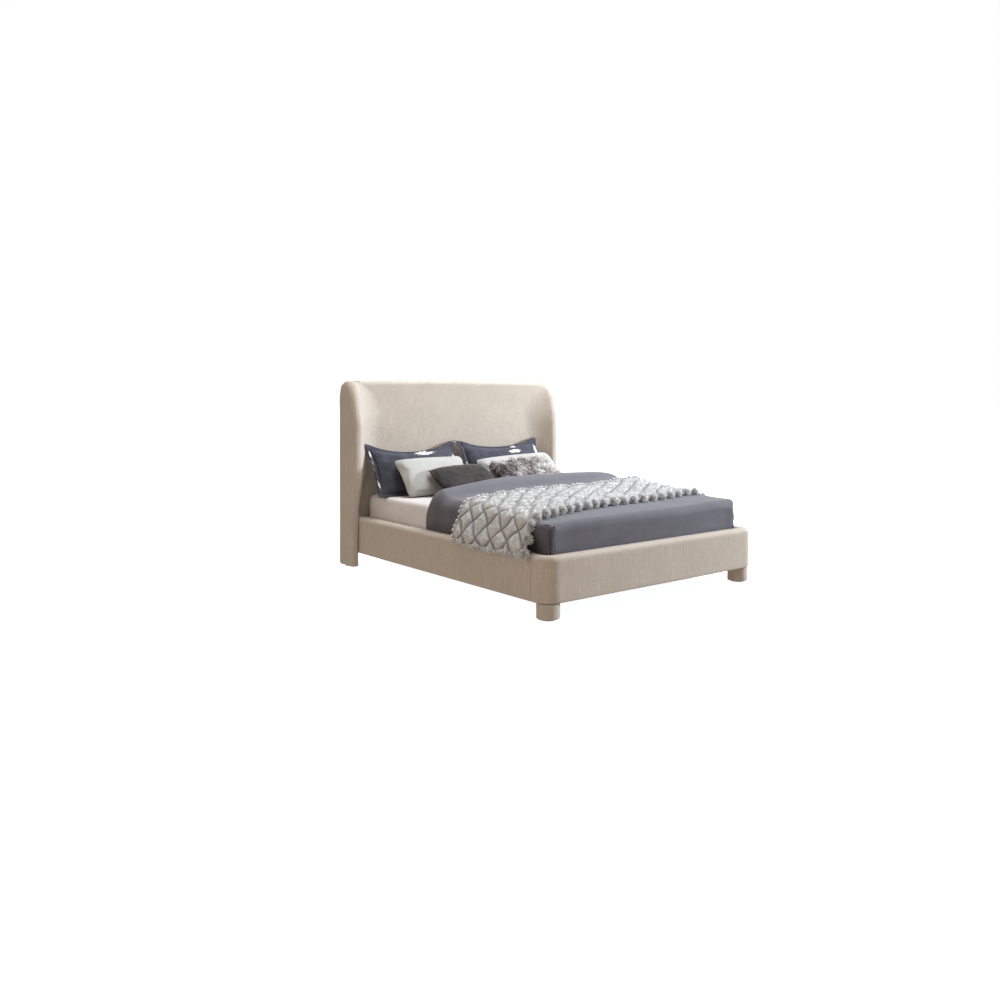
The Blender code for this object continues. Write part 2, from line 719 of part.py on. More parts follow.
def duvet_arch(y, grow=0.0):
    """The duvet's outer line across the bed at one place, from the right side over to the left."""
    top = straight_between(y, DUVET_TOP) + grow
    radius = straight_between(y, DUVET_SHOULDER)
    half = DUVET_HALF_WIDTH + grow
    right = arc((half - radius, top - DUVET_CROWN - radius), radius, 0, 90, 4)
    right += [(half * DUVET_QUARTER[0], top - DUVET_CROWN * DUVET_QUARTER[1])]
    return right + [(0.0, top)] + [(-x, z) for x, z in reversed(right)]


def duvet(carrier):
    """A padded cover over the mattress, tucked down inside the rails."""
    stations = [(DUVET_FOOT + back, drop) for back, drop in DUVET_FOOT_ROUNDING]
    stations += [(y, 0.0) for y in DUVET_STATIONS] + list(DUVET_HEAD_ROUNDING)
    rings = []
    for y, drop in stations:
        half = DUVET_HALF_WIDTH
        slim = (half - drop) / half if y < 0 else 1.0
        line = [(-half, DUVET_HEM), (half, DUVET_HEM)] + [(x, z - drop) for x, z in duvet_arch(y)]
        rings.append([(x * slim, y, z) for x, z in line])
    cover = add("duvet", loft(rings), grey_cotton, carrier)
    clear = GAP + SHEET_THICKNESS + GAP
    low = (-MATTRESS_HALF - clear, MATTRESS_FOOT - clear, DUVET_HEM - CLEAR_OF)
    high = (MATTRESS_HALF + clear, DUVET_HEAD + CLEAR_OF, SHEET_TOP + GAP)
    cut(cover, "duvet_cutter", box_mesh(low, high))


THROW_CLEAR = 0.006  # between the throw and the rail that it hangs over
THROW_HEMS = (0.405, 0.285)  # on the right, and on the left
THROW_CORNERS = (0.030, 0.006, 0.022, 0.012, 0.036)  # how widely the hanging part turns, from the top
THROW_BASE = 0.0012
THROW_STATIONS = 6


def throw_line(y, grow):
    """The throw's path across the bed: beside the mattress on the right, and over the rail on the left."""
    arch = duvet_arch(y, grow)
    half = DUVET_HALF_WIDTH + grow
    over = RAIL_TOP + THROW_CLEAR + grow
    outside = FRAME_HALF + THROW_CLEAR + grow
    valley, dip, crest, corner, fall = THROW_CORNERS
    right = [(half, THROW_HEMS[0])]
    left = [
        (-half, over + valley - grow),
        (-half - corner + grow / 2, over + dip - grow / 2),
        (-FRAME_HALF + crest, over),
        (-outside + corner, over - corner),
        (-outside, over - fall),
        (-outside, THROW_HEMS[1]),
    ]
    return right + arch + left


def throw(carrier):
    """A folded fur throw laid across the foot of the bed."""
    first, last = THROW_SIDES
    rings = []
    for i in range(THROW_STATIONS):
        y = first + (last - first) * i / (THROW_STATIONS - 1)
        under = throw_line(y, THROW_BASE)
        over = throw_line(y, THROW_BASE + THROW_THICKNESS)
        rings.append([(x, y, z) for x, z in under + list(reversed(over))])
    add("fur_throw", loft(rings), fur, carrier)


# ---------------------------------------------------------------- pillows
# name, parent, paint, middle, size (width, height, thickness), lean back, turn, roll, in degrees
PILLOWS = (
    ("sham_left", "mattress_lift", slate_cotton, (-0.411, 0.880, 0.654), (0.70, 0.35, 0.12), 26, 0, 0),
    ("pillow_left", "sham_left_lift", cream_cotton, (-0.375, 0.722, 0.621), (0.53, 0.28, 0.11), 30, 0, 0),
    ("cushion_grey", "pillow_left_lift", velvet, (-0.275, 0.510, 0.596), (0.42, 0.34, 0.10), 62, 0, 4),
    ("sham_right", "mattress_lift", slate_cotton, (0.365, 0.880, 0.654), (0.70, 0.35, 0.12), 26, 0, 0),
    ("pillow_right", "sham_right_lift", cream_cotton, (0.350, 0.705, 0.625), (0.58, 0.33, 0.10), 44, 0, 3),
    ("cushion_fur", "pillow_right_lift", fur, (0.310, 0.536, 0.636), (0.50, 0.30, 0.09), 56, 0, 4),
)
PILLOW_EDGE = 0.008
PILLOW_HOLLOW = 0.05  # how far its sides draw in between the corners


def pillow_mesh(size, steps=9):
    """A stuffed cushion: full in the middle and thin along its seam, with slightly hollow sides."""
    bm = bmesh.new()
    sheets = []
    for face in (-1, 1):
        rows = []
        for i in range(steps + 1):
            row = []
            for j in range(steps + 1):
                u = math.sin(math.pi / 2 * (2 * i / steps - 1))
                v = math.sin(math.pi / 2 * (2 * j / steps - 1))
                x = size[0] / 2 * u * (1 - PILLOW_HOLLOW * (1 - v * v))
                z = size[1] / 2 * v * (1 - PILLOW_HOLLOW * (1 - u * u))
                full = math.sqrt((1 - u**4) * (1 - v**4))
                y = face * (PILLOW_EDGE / 2 + (size[2] - PILLOW_EDGE) / 2 * full)
                row.append(bm.verts.new((x, y, z)))
            rows.append(row)
        sheets.append(rows)
        for a, b in zip(rows, rows[1:]):
            for j in range(steps):
                bm.faces.new((a[j], a[j + 1], b[j + 1], b[j]))
    for back, front in zip(rim(sheets[0]), rim(sheets[1])):
        bm.faces.new((back[0], back[1], front[1], front[0]))
    return bm


def rim(rows):
    """The edges round a square grid of vertices, as pairs in order."""
    line = rows[0][:-1] + [row[-1] for row in rows[:-1]]
    line += list(reversed(rows[-1]))[:-1] + [row[0] for row in reversed(rows)][:-1]
    return list(zip(line, line[1:] + line[:1]))


def pillows(carriers):
    """Each pillow leans on the one behind it, and lifts off it."""
    for name, parent, paint, middle, size, lean, turn, roll in PILLOWS:
        carrier = body(f"{name}_lift", middle, carriers[parent])
        carriers[f"{name}_lift"] = carrier
        bm = pillow_mesh(size)
        turned_by = (
            Matrix.Translation(middle)
            @ Matrix.Rotation(math.radians(turn), 4, "Z")
            @ Matrix.Rotation(math.radians(-lean), 4, "X")
            @ Matrix.Rotation(math.radians(-roll), 4, "Y")
        )
        bm.transform(turned_by)
        add(name, bm, paint, carrier, 60.0)


# ---------------------------------------------------------------- the whole bed
def main():
    start_empty()
    frame = body("bed_frame", (0, 0, 0))
    headboard_cover()
    headboard_back_panel()
    headboard_frame()
    headboard_glides()
    side_rails()
    footboard()
    corner_blocks()
    rail_brackets()
    slat_cleats()
    front_feet()
    centre_beam()
    centre_legs(frame)
    slats()
    mattress_lift = body("mattress_lift", (0, 0, MATTRESS_BASE), frame)
    mattress(mattress_lift)
    fitted_sheet(mattress_lift)
    duvet(mattress_lift)
    throw(mattress_lift)
    pillows({"mattress_lift": mattress_lift})


main()
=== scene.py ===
"""The finished look of the upholstered wing bed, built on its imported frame.

Metres, +Z up, +Y towards the headboard, +X to the right as seen from the foot.
"""

import json
import math

import bmesh
import bpy
import numpy as np
from mathutils import Matrix, Vector, noise


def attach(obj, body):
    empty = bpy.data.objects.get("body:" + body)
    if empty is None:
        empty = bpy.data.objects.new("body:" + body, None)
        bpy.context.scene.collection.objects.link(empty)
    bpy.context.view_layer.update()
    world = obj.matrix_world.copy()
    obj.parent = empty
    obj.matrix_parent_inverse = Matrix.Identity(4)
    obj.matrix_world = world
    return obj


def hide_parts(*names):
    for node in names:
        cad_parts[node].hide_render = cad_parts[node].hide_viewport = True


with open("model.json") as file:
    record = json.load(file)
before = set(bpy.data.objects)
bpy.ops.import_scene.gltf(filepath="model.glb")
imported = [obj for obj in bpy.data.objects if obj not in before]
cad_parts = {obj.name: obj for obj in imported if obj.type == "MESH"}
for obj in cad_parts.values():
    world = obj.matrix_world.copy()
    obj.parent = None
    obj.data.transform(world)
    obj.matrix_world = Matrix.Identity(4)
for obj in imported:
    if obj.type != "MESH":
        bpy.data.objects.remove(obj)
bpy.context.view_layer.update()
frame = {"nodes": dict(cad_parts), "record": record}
noise.seed_set(5)  # the same locks of fur each run

# ---------------------------------------------------------------- dimensions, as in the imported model
GAP = 0.0003
LENGTH, FRAME_WIDTH = 2.24, 1.75
HEADBOARD_HALF, HEADBOARD_HEIGHT = 0.9275, 1.304
FLOOR_CLEARANCE, RAIL_TOP, RAIL_THICKNESS = 0.095, 0.344, 0.085
CORNER_RADIUS = 0.10
BACK_FACE = LENGTH / 2
COVER_BACK = BACK_FACE - 0.007
PANEL_FACE = BACK_FACE - 0.108
WING_FACE = BACK_FACE - 0.1945
LEG_THICKNESS, WING_THICKNESS, NOSE_RADIUS = 0.051, 0.086, 0.042
LEG_INNER = HEADBOARD_HALF - LEG_THICKNESS
PANEL_BASE = 0.10
FRAME_HALF = FRAME_WIDTH / 2
RAIL_INNER = FRAME_HALF - RAIL_THICKNESS
FOOT_FACE = -LENGTH / 2
SEAM = FOOT_FACE + 0.1325
FOOT_PLACE, FOOT_RADIUS = (0.795, -1.04), 0.0644
MATTRESS_HALF, MATTRESS_FOOT, MATTRESS_HEAD = 0.76, -1.0165, 1.0035
MATTRESS_BASE, MATTRESS_TOP = 0.2253, 0.4885
MATTRESS_LIFT = 0.24
SHEET_TOP = 0.4918
DUVET_HALF, DUVET_FOOT, DUVET_HEAD, DUVET_HEM = 0.783, -1.0342, 0.335, 0.27


# ---------------------------------------------------------------- small tools
def ease(value, low, high):
    """0 at low, 1 at high, and smooth between; low may be the larger of the two."""
    share = min(1.0, max(0.0, (value - low) / (high - low)))
    return share * share * (3 - 2 * share)


def arc(centre, radius, start, end, steps):
    turns = [math.radians(start + (end - start) * i / steps) for i in range(steps + 1)]
    return [(centre[0] + radius * math.cos(t), centre[1] + radius * math.sin(t)) for t in turns]


def smooth_line(value, points):
    """A value read from a smooth curve through (place, value) pairs."""
    if value <= points[0][0]:
        return points[0][1]
    for i, ((a, first), (b, second)) in enumerate(zip(points, points[1:])):
        if value <= b:
            span = b - a
            t = (value - a) / span
            return (
                (2 * t**3 - 3 * t**2 + 1) * first
                + (t**3 - 2 * t**2 + t) * span * slope(points, i)
                + (3 * t**2 - 2 * t**3) * second
                + (t**3 - t**2) * span * slope(points, i + 1)
            )
    return points[-1][1]


def slope(points, i):
    """How steep the curve is at one of its points."""
    a, b = points[max(0, i - 1)], points[min(len(points) - 1, i + 1)]
    return (b[1] - a[1]) / (b[0] - a[0])


def sides():
    return (("left", -1), ("right", 1))


def wander(point, scale, seed=0.0):
    """Smooth noise from -1 to 1 at a point."""
    return noise.noise(Vector(point) * scale + Vector((seed, seed * 1.7, -seed)))


# ---------------------------------------------------------------- materials
class Paint:
    """A node material that is put together a step at a time."""

    def __init__(self, name, roughness, sheen=0.0, sheen_roughness=0.5, specular=0.3, metallic=0.0):
        self.material = bpy.data.materials.new(name)
        self.material.use_nodes = True
        self.nodes = self.material.node_tree.nodes
        self.links = self.material.node_tree.links
        self.shader = self.nodes["Principled BSDF"]
        self.set("Roughness", roughness)
        self.set("Sheen Weight", sheen)
        self.set("Sheen Roughness", sheen_roughness)
        self.set("Specular IOR Level", specular)
        self.set("Metallic", metallic)
        self.object = self.node("TexCoord").outputs["Object"]

    def put(self, value, socket):
        if isinstance(value, bpy.types.NodeSocket):
            self.links.new(value, socket)
        else:
            socket.default_value = value

    def set(self, name, value):
        self.put(value, self.shader.inputs[name])

    def node(self, kind, choices=(), **inputs):
        """A node with its choices made and its inputs filled; a name's underscore stands for a space."""
        node = self.nodes.new(f"ShaderNode{kind}")
        for name, choice in dict(choices).items():
            setattr(node, name, choice)
        for name, value in inputs.items():
            self.put(value, node.inputs[name.replace("_", " ")])
        return node

    def cloth(self):
        return self.node("UVMap", {"uv_map": "cloth"}).outputs["UV"]

    def stored(self, name):
        return self.node("Attribute", {"attribute_name": name}).outputs["Color"]

    def scaled(self, vector, scale, turn=0.0):
        return self.node("Mapping", Vector=vector, Scale=scale, Rotation=(0, 0, turn)).outputs["Vector"]

    def noise(self, vector, scale, detail=2.0, roughness=0.5, distortion=0.0):
        settings = {"Scale": scale, "Detail": detail, "Roughness": roughness, "Distortion": distortion}
        return self.node("TexNoise", Vector=vector, **settings).outputs["Fac"]

    def wave(self, vector, scale, direction, distortion):
        settings = {"Scale": scale, "Distortion": distortion, "Detail": 1.0}
        return self.node("TexWave", {"bands_direction": direction}, Vector=vector, **settings).outputs["Fac"]

    def math(self, operation, first, second=0.0, third=0.0):
        node = self.node("Math", {"operation": operation})
        for socket, value in zip(node.inputs, (first, second, third)):
            self.put(value, socket)
        return node.outputs["Value"]

    def total(self, *terms):
        """The sum of (value, weight) pairs."""
        sum_so_far = 0.0
        for value, weight in terms:
            sum_so_far = self.math("MULTIPLY_ADD", value, weight, sum_so_far)
        return sum_so_far

    def ramp(self, value, *stops):
        node = self.node("ValToRGB", Fac=value)
        elements = node.color_ramp.elements
        while len(elements) < len(stops):
            elements.new(0.5)
        for element, (place, colour) in zip(elements, stops):
            element.position = place
            element.color = (*colour, 1.0)
        return node.outputs["Color"]

    def tones(self, value, colour, *stops):
        """A ramp through lighter and darker tones of one colour."""
        return self.ramp(value, *((place, shade(colour, amount)) for place, amount in stops))

    def mix(self, share, first, second, blend="MIX"):
        node = self.node("Mix", {"data_type": "RGBA", "blend_type": blend})
        self.put(share, node.inputs[0])
        for socket, value in ((node.inputs[6], first), (node.inputs[7], second)):
            self.put(value if isinstance(value, bpy.types.NodeSocket) else (*value, 1.0), socket)
        return node.outputs[2]

    def between(self, value, low, high):
        """0 below low, 1 above high, and smooth between."""
        steps = {"Value": value, "From Min": low, "From Max": high}
        return self.node("MapRange", {"interpolation_type": "SMOOTHSTEP"}, **steps).outputs["Result"]

    def bump(self, height, strength, distance):
        node = self.node("Bump", Strength=strength, Distance=distance, Height=height)
        self.set("Normal", node.outputs["Normal"])

    def split(self, vector):
        return self.node("SeparateXYZ", Vector=vector).outputs


WHITE = (1.0, 1.0, 1.0)


def shade(colour, amount):
    return tuple(c * amount for c in colour)


def linen(name, colour, shift):
    """A plain-weave linen: uneven slubby threads both ways, in two close tones."""
    paint = Paint(name, 0.92, sheen=0.12, specular=0.15)
    flat = paint.cloth()
    warp = paint.noise(paint.scaled(flat, (640 + shift, 26, 1)), 1.0, 2.0, 0.6)
    weft = paint.noise(paint.scaled(flat, (30, 620 + shift, 1)), 1.0, 2.0, 0.6)
    slub = paint.noise(paint.scaled(flat, (260, 8, 1)), 1.0, 2.0, 0.6)
    cross_slub = paint.noise(paint.scaled(flat, (14, 240, 1)), 1.0, 1.0)
    broad = paint.noise(paint.object, 4.0, 2.0)
    tone = paint.total((warp, 0.30), (weft, 0.22), (slub, 0.27), (cross_slub, 0.11), (broad, 0.10))
    paint.set("Base Color", paint.tones(tone, colour, (0.36, 0.64), (0.46, 0.93), (0.54, 1.06), (0.64, 1.32)))
    threads = paint.math("MULTIPLY", *(paint.wave(flat, 160.0, way, 1.5) for way in "XY"))
    height = paint.total((threads, 0.5), (warp, 1.1), (weft, 0.9), (slub, 0.6))
    paint.bump(height, 0.4, 0.0009)
    return paint.material


def cotton(name, colour, sheen=0.1, roughness=0.8, specular=0.25, contrast=0.06, crease=0.0):
    """A fine, close cotton with a little unevenness in its dye, and soft small creases."""
    paint = Paint(name, roughness, sheen=sheen, specular=specular)
    fine = paint.noise(paint.scaled(paint.object, (900, 900, 900)), 1.0, 1.0)
    cloudy = paint.noise(paint.object, 9.0, 3.0, 0.55)
    long = paint.noise(paint.scaled(paint.object, (4.0, 14.0, 14.0)), 1.0, 3.0, 0.5, 0.6)
    tone = paint.total((fine, 0.25), (cloudy, 0.45), (long, 0.30))
    reach = contrast * 2.2
    paint.set("Base Color", paint.tones(tone, colour, (0.30, 1 - reach), (0.5, 1.0), (0.70, 1 + reach)))
    height = paint.total((fine, 0.2), (long, crease * 10), (cloudy, crease * 6))
    paint.bump(height, 0.5, 0.0016)
    return paint.material


def printed_cotton(name, colour, patches):
    """A dark cotton with a few pale ragged splashes of print; the patches are in the cushion's own plane."""
    paint = Paint(name, 0.78, sheen=0.08, specular=0.2)
    flat = paint.cloth()
    across, up, _ = paint.split(flat)
    ragged = paint.noise(paint.scaled(flat, (60, 46, 1)), 1.0, 4.0, 0.65)
    strokes = paint.noise(paint.scaled(flat, (26, 90, 1), 0.6), 1.0, 2.0, 0.5)
    cover = None
    for x, z, width, height in patches:
        dx = paint.math("MULTIPLY", paint.math("SUBTRACT", across, x), 1 / width)
        dz = paint.math("MULTIPLY", paint.math("SUBTRACT", up, z), 1 / height)
        far = paint.math("ADD", paint.math("MULTIPLY", dx, dx), paint.math("MULTIPLY", dz, dz))
        near = paint.math("SUBTRACT", 1.0, paint.math("SQRT", far))
        cover = near if cover is None else paint.math("MAXIMUM", cover, near)
    shown = paint.math("ADD", cover, paint.total((ragged, 1.3), (strokes, 0.9), (-1.1, 1.0)))
    share = paint.between(shown, 0.02, 0.10)
    cloudy = paint.noise(paint.object, 14.0, 3.0)
    ground = paint.tones(cloudy, colour, (0.3, 0.75), (0.7, 1.30))
    pale = paint.ramp(strokes, (0.35, (0.50, 0.48, 0.49)), (0.65, (0.80, 0.78, 0.77)))
    paint.set("Base Color", paint.mix(share, ground, pale))
    fine = paint.noise(flat, 1100.0, 1.0)
    paint.bump(paint.total((fine, 0.3), (cloudy, 0.8)), 0.35, 0.0012)
    return paint.material


def velvet(name, colour):
    """A short pile that has been brushed this way and that."""
    paint = Paint(name, 0.75, sheen=0.4, sheen_roughness=0.3, specular=0.2)
    paint.set("Sheen Tint", (0.85, 0.82, 0.80, 1.0))
    brushed = paint.noise(paint.scaled(paint.object, (14, 5, 14)), 1.0, 3.0, 0.6, 0.8)
    pile = paint.noise(paint.object, 700.0, 2.0, 0.7)
    tone = paint.total((brushed, 0.7), (pile, 0.3))
    paint.set("Base Color", paint.tones(tone, colour, (0.33, 0.55), (0.5, 1.0), (0.68, 1.75)))
    paint.bump(paint.total((pile, 0.6), (brushed, 1.2)), 0.5, 0.0015)
    return paint.material


def pile(name):
    """Hair and fur; each strand carries its own colour."""
    paint = Paint(name, 0.62, sheen=0.35, specular=0.28)
    fine = paint.noise(paint.object, 260.0, 2.0)
    flecks = paint.tones(fine, WHITE, (0.3, 0.84), (0.7, 1.0))
    paint.set("Base Color", paint.mix(1.0, paint.stored("tint"), flecks, "MULTIPLY"))
    return paint.material


def hide(name, colour):
    """The suede back of a fur pelt."""
    paint = Paint(name, 0.95, sheen=0.3, specular=0.15)
    mottled = paint.noise(paint.object, 38.0, 4.0, 0.6)
    paint.set("Base Color", paint.tones(mottled, colour, (0.3, 0.8), (0.7, 1.15)))
    paint.bump(mottled, 0.4, 0.001)
    return paint.material


def timber(name, colour, grain):
    paint = Paint(name, 0.6, specular=0.35)
    rings = paint.noise(paint.scaled(paint.object, grain), 1.0, 4.0, 0.6, 1.2)
    fleck = paint.noise(paint.scaled(paint.object, shade(grain, 6.0)), 1.0, 2.0)
    tone = paint.total((rings, 0.75), (fleck, 0.25))
    paint.set("Base Color", paint.tones(tone, colour, (0.32, 0.55), (0.48, 0.95), (0.62, 1.2)))
    paint.set("Roughness", paint.math("MULTIPLY_ADD", fleck, 0.3, 0.45))
    paint.bump(tone, 0.3, 0.0008)
    return paint.material


def metal(name, colour):
    paint = Paint(name, 0.38, specular=0.5, metallic=1.0)
    brushed = paint.noise(paint.scaled(paint.object, (40, 40, 900)), 1.0, 2.0)
    blotch = paint.noise(paint.object, 22.0, 3.0)
    paint.set("Base Color", paint.tones(blotch, colour, (0.3, 0.8), (0.7, 1.15)))
    paint.set("Roughness", paint.math("MULTIPLY_ADD", brushed, 0.3, 0.26))
    paint.bump(brushed, 0.15, 0.0004)
    return paint.material


def moulded(name, colour):
    paint = Paint(name, 0.5, specular=0.4)
    grain = paint.noise(paint.object, 420.0, 2.0)
    scuffs = paint.noise(paint.object, 30.0, 4.0, 0.7)
    paint.set("Base Color", paint.tones(scuffs, colour, (0.3, 0.8), (0.75, 1.8)))
    paint.set("Roughness", paint.math("MULTIPLY_ADD", scuffs, 0.35, 0.35))
    paint.bump(grain, 0.25, 0.0005)
    return paint.material


def ticking(name, colour):
    """A mattress cover, quilted in diamonds, with painted shade along its quilting lines."""
    paint = Paint(name, 0.85, sheen=0.15, specular=0.2)
    across, along, _ = paint.split(paint.object)
    quilt = None
    for sign in (1.0, -1.0):
        line = paint.math("MULTIPLY_ADD", along, sign, across)
        wave = paint.math("ABSOLUTE", paint.math("SINE", paint.math("MULTIPLY", line, math.pi / 0.11)))
        quilt = wave if quilt is None else paint.math("MINIMUM", quilt, wave)
    puffed = paint.between(quilt, 0.0, 0.45)
    fine = paint.noise(paint.object, 700.0, 2.0)
    # Painted shade: the cover's colour is darkened to 0.72 along the quilting lines, where the puffs shade
    # the stitched grooves.
    groove_shaded_colour = paint.mix(puffed, shade(colour, 0.72), colour)
    flecks = paint.tones(fine, WHITE, (0.3, 0.88), (0.7, 1.0))
    paint.set("Base Color", paint.mix(1.0, groove_shaded_colour, flecks, "MULTIPLY"))
    paint.bump(paint.total((puffed, 4.0), (fine, 0.15)), 0.6, 0.0016)
    return paint.material


PAINTS = {
    "linen": linen("linen", (0.50, 0.437, 0.378), 0.0),
    "backing": linen("backing", (0.33, 0.285, 0.24), 60.0),
    "pine": timber("pine", (0.56, 0.38, 0.21), (60.0, 3.0, 60.0)),
    "plywood": timber("plywood", (0.52, 0.37, 0.22), (3.0, 60.0, 60.0)),
    "steel": metal("steel", (0.42, 0.42, 0.43)),
    "plastic": moulded("plastic", (0.022, 0.022, 0.024)),
    "ticking": ticking("ticking", (0.62, 0.60, 0.57)),
    "white_cotton": cotton("white_cotton", (0.70, 0.675, 0.66), contrast=0.035, crease=0.08),
    "grey_cotton": cotton("grey_cotton", (0.106, 0.102, 0.122), 0.14, 0.72, 0.22, contrast=0.09, crease=0.06),
    "cream_cotton": cotton("cream_cotton", (0.41, 0.405, 0.39), contrast=0.03, crease=0.03),
    "velvet": velvet("velvet", (0.026, 0.0215, 0.021)),
    "pelt": hide("pelt", (0.60, 0.585, 0.575)),
    "fur": pile("fur"),
}


# ---------------------------------------------------------------- mesh tools
def linked(thing):
    """Puts a new object into the scene."""
    bpy.context.scene.collection.objects.link(thing)
    return thing


def piece(name, mesh, paint, body, slot, replaces=(), angle=35.0):
    """Makes a mesh, or one that is still being built, a shown piece that rides on a body."""
    if isinstance(mesh, bmesh.types.BMesh):
        mesh = to_mesh(name, mesh)
    made = linked(bpy.data.objects.new(name, mesh))
    mesh.materials.append(PAINTS[paint] if isinstance(paint, str) else paint)
    mesh.shade_smooth()
    if angle:
        mesh.set_sharp_from_angle(angle=math.radians(angle))
    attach(made, body)
    if replaces:
        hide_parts(*replaces)
    return made


def upholstered(name, bm, node):
    """A linen piece of the frame over foam."""
    piece(name, bm, "linen", "frame", "linen", (node,))


def to_mesh(name, bm):
    bmesh.ops.recalc_face_normals(bm, faces=bm.faces)
    mesh = bpy.data.meshes.new(name)
    bm.to_mesh(mesh)
    bm.free()
    return mesh


def skin(bm, rows, swap=False):
    """Faces between rows of points, with a flat map in metres: along each row, then from row to row."""
    layer = bm.loops.layers.uv.get("cloth") or bm.loops.layers.uv.new("cloth")
    points = np.array([[tuple(p) for p in row] for row in rows])
    across = np.linalg.norm(np.diff(points, axis=1, append=points[:, :1]), axis=2)
    around = np.concatenate([np.zeros((len(rows), 1)), np.cumsum(across, axis=1)], axis=1)
    steps = np.median(np.linalg.norm(np.diff(points, axis=0), axis=2), axis=1)
    along = np.concatenate([[0.0], np.cumsum(steps)])
    verts = [[bm.verts.new(p) for p in row] for row in points]
    count = points.shape[1]
    for i in range(len(rows) - 1):
        for j in range(count):
            k = (j + 1) % count
            face = bm.faces.new((verts[i][j], verts[i][k], verts[i + 1][k], verts[i + 1][j]))
            flat = ((i, j), (i, j + 1), (i + 1, j + 1), (i + 1, j))
            for loop, (r, c) in zip(face.loops, flat):
                pair = (around[r][c], along[r])
                loop[layer].uv = (pair[1], pair[0]) if swap else pair
    return verts


def cap(bm, verts, axes=(0, 1)):
    """Closes a row of vertices, mapped flat on two axes."""
    layer = bm.loops.layers.uv["cloth"]
    face = bm.faces.new(verts)
    for loop in face.loops:
        loop[layer].uv = (loop.vert.co[axes[0]], loop.vert.co[axes[1]])
    return face


def closed_loft(rows, swap=False, axes=(0, 1)):
    bm = bmesh.new()
    verts = skin(bm, rows, swap)
    ends = [cap(bm, verts[0], axes), cap(bm, verts[-1], axes)]
    bmesh.ops.triangulate(bm, faces=ends)
    return bm


def soften(bm, amount, scale, seed, where):
    """Moves the vertices in and out a little, as padding under cloth does."""
    bm.normal_update()
    moves = [(v, v.normal * (amount * wander(v.co, scale, seed))) for v in bm.verts if where(v.co)]
    for v, move in moves:
        v.co += move


def tube(points, radius, closed=False, sides_count=8):
    """A round cord along a line of points."""
    points = [Vector(p) for p in points]
    count = len(points)
    turns = [2 * math.pi * j / sides_count for j in range(sides_count)]
    rows = []
    normal = None
    for i, point in enumerate(points):
        after = points[(i + 1) % count] if closed or i + 1 < count else point
        before = points[i - 1] if closed or i > 0 else point
        ahead = (after - before).normalized()
        if normal is None:
            normal = ahead.orthogonal()
        normal = (normal - ahead * normal.dot(ahead)).normalized()
        side = ahead.cross(normal)
        rows.append([point + (normal * math.cos(turn) + side * math.sin(turn)) * radius for turn in turns])
    bm = bmesh.new()
    verts = skin(bm, rows)
    if closed:
        bmesh.ops.bridge_loops(bm, edges=ring_edges(bm, verts[-1]) + ring_edges(bm, verts[0]))
    else:
        cap(bm, verts[0])
        cap(bm, verts[-1])
    return bm


def ring_edges(bm, verts):
    return [bm.edges.get((a, b)) for a, b in zip(verts, verts[1:] + verts[:1])]


def tinted(mesh, tint):
    """Stores a colour for each of a mesh's points."""
    layer = mesh.color_attributes.new("tint", "FLOAT_COLOR", "POINT")
    layer.data.foreach_set("color", np.hstack([tint, np.ones((len(tint), 1))]).astype(np.float32).ravel())
    return mesh


def triangle_mesh(name, points, triangles, tint):
    """A mesh from arrays, with a colour for each point."""
    mesh = bpy.data.meshes.new(name)
    mesh.vertices.add(len(points))
    mesh.vertices.foreach_set("co", np.asarray(points, np.float32).ravel())
    mesh.loops.add(triangles.size)
    mesh.loops.foreach_set("vertex_index", triangles.astype(np.int32).ravel())
    mesh.polygons.add(len(triangles))
    mesh.polygons.foreach_set("loop_start", np.arange(0, triangles.size, 3, dtype=np.int32))
    mesh.update(calc_edges=True)
    return tinted(mesh, tint)


def scatter(rng, points, triangles, count, values):
    """Random places on a surface, spread evenly: points, normals and interpolated values."""
    a, b, c = (points[triangles[:, i]] for i in range(3))
    cross = np.cross(b - a, c - a)
    size = np.linalg.norm(cross, axis=1)
    chosen = rng.choice(len(triangles), count, p=size / size.sum())
    u, v = rng.random(count), rng.random(count)
    over = u + v > 1
    u[over], v[over] = 1 - u[over], 1 - v[over]
    shares = np.stack([1 - u - v, u, v], axis=1)[:, :, None]
    corners = triangles[chosen]
    normals = cross[chosen] / np.maximum(size[chosen], 1e-12)[:, None]
    return (points[corners] * shares).sum(1), normals, [(value[corners] * shares).sum(1) for value in values]


ROOT_DEPTH = 0.002  # how deep a hair's root is sunk


def unit(vectors):
    return vectors / np.maximum(np.linalg.norm(vectors, axis=1, keepdims=True), 1e-9)


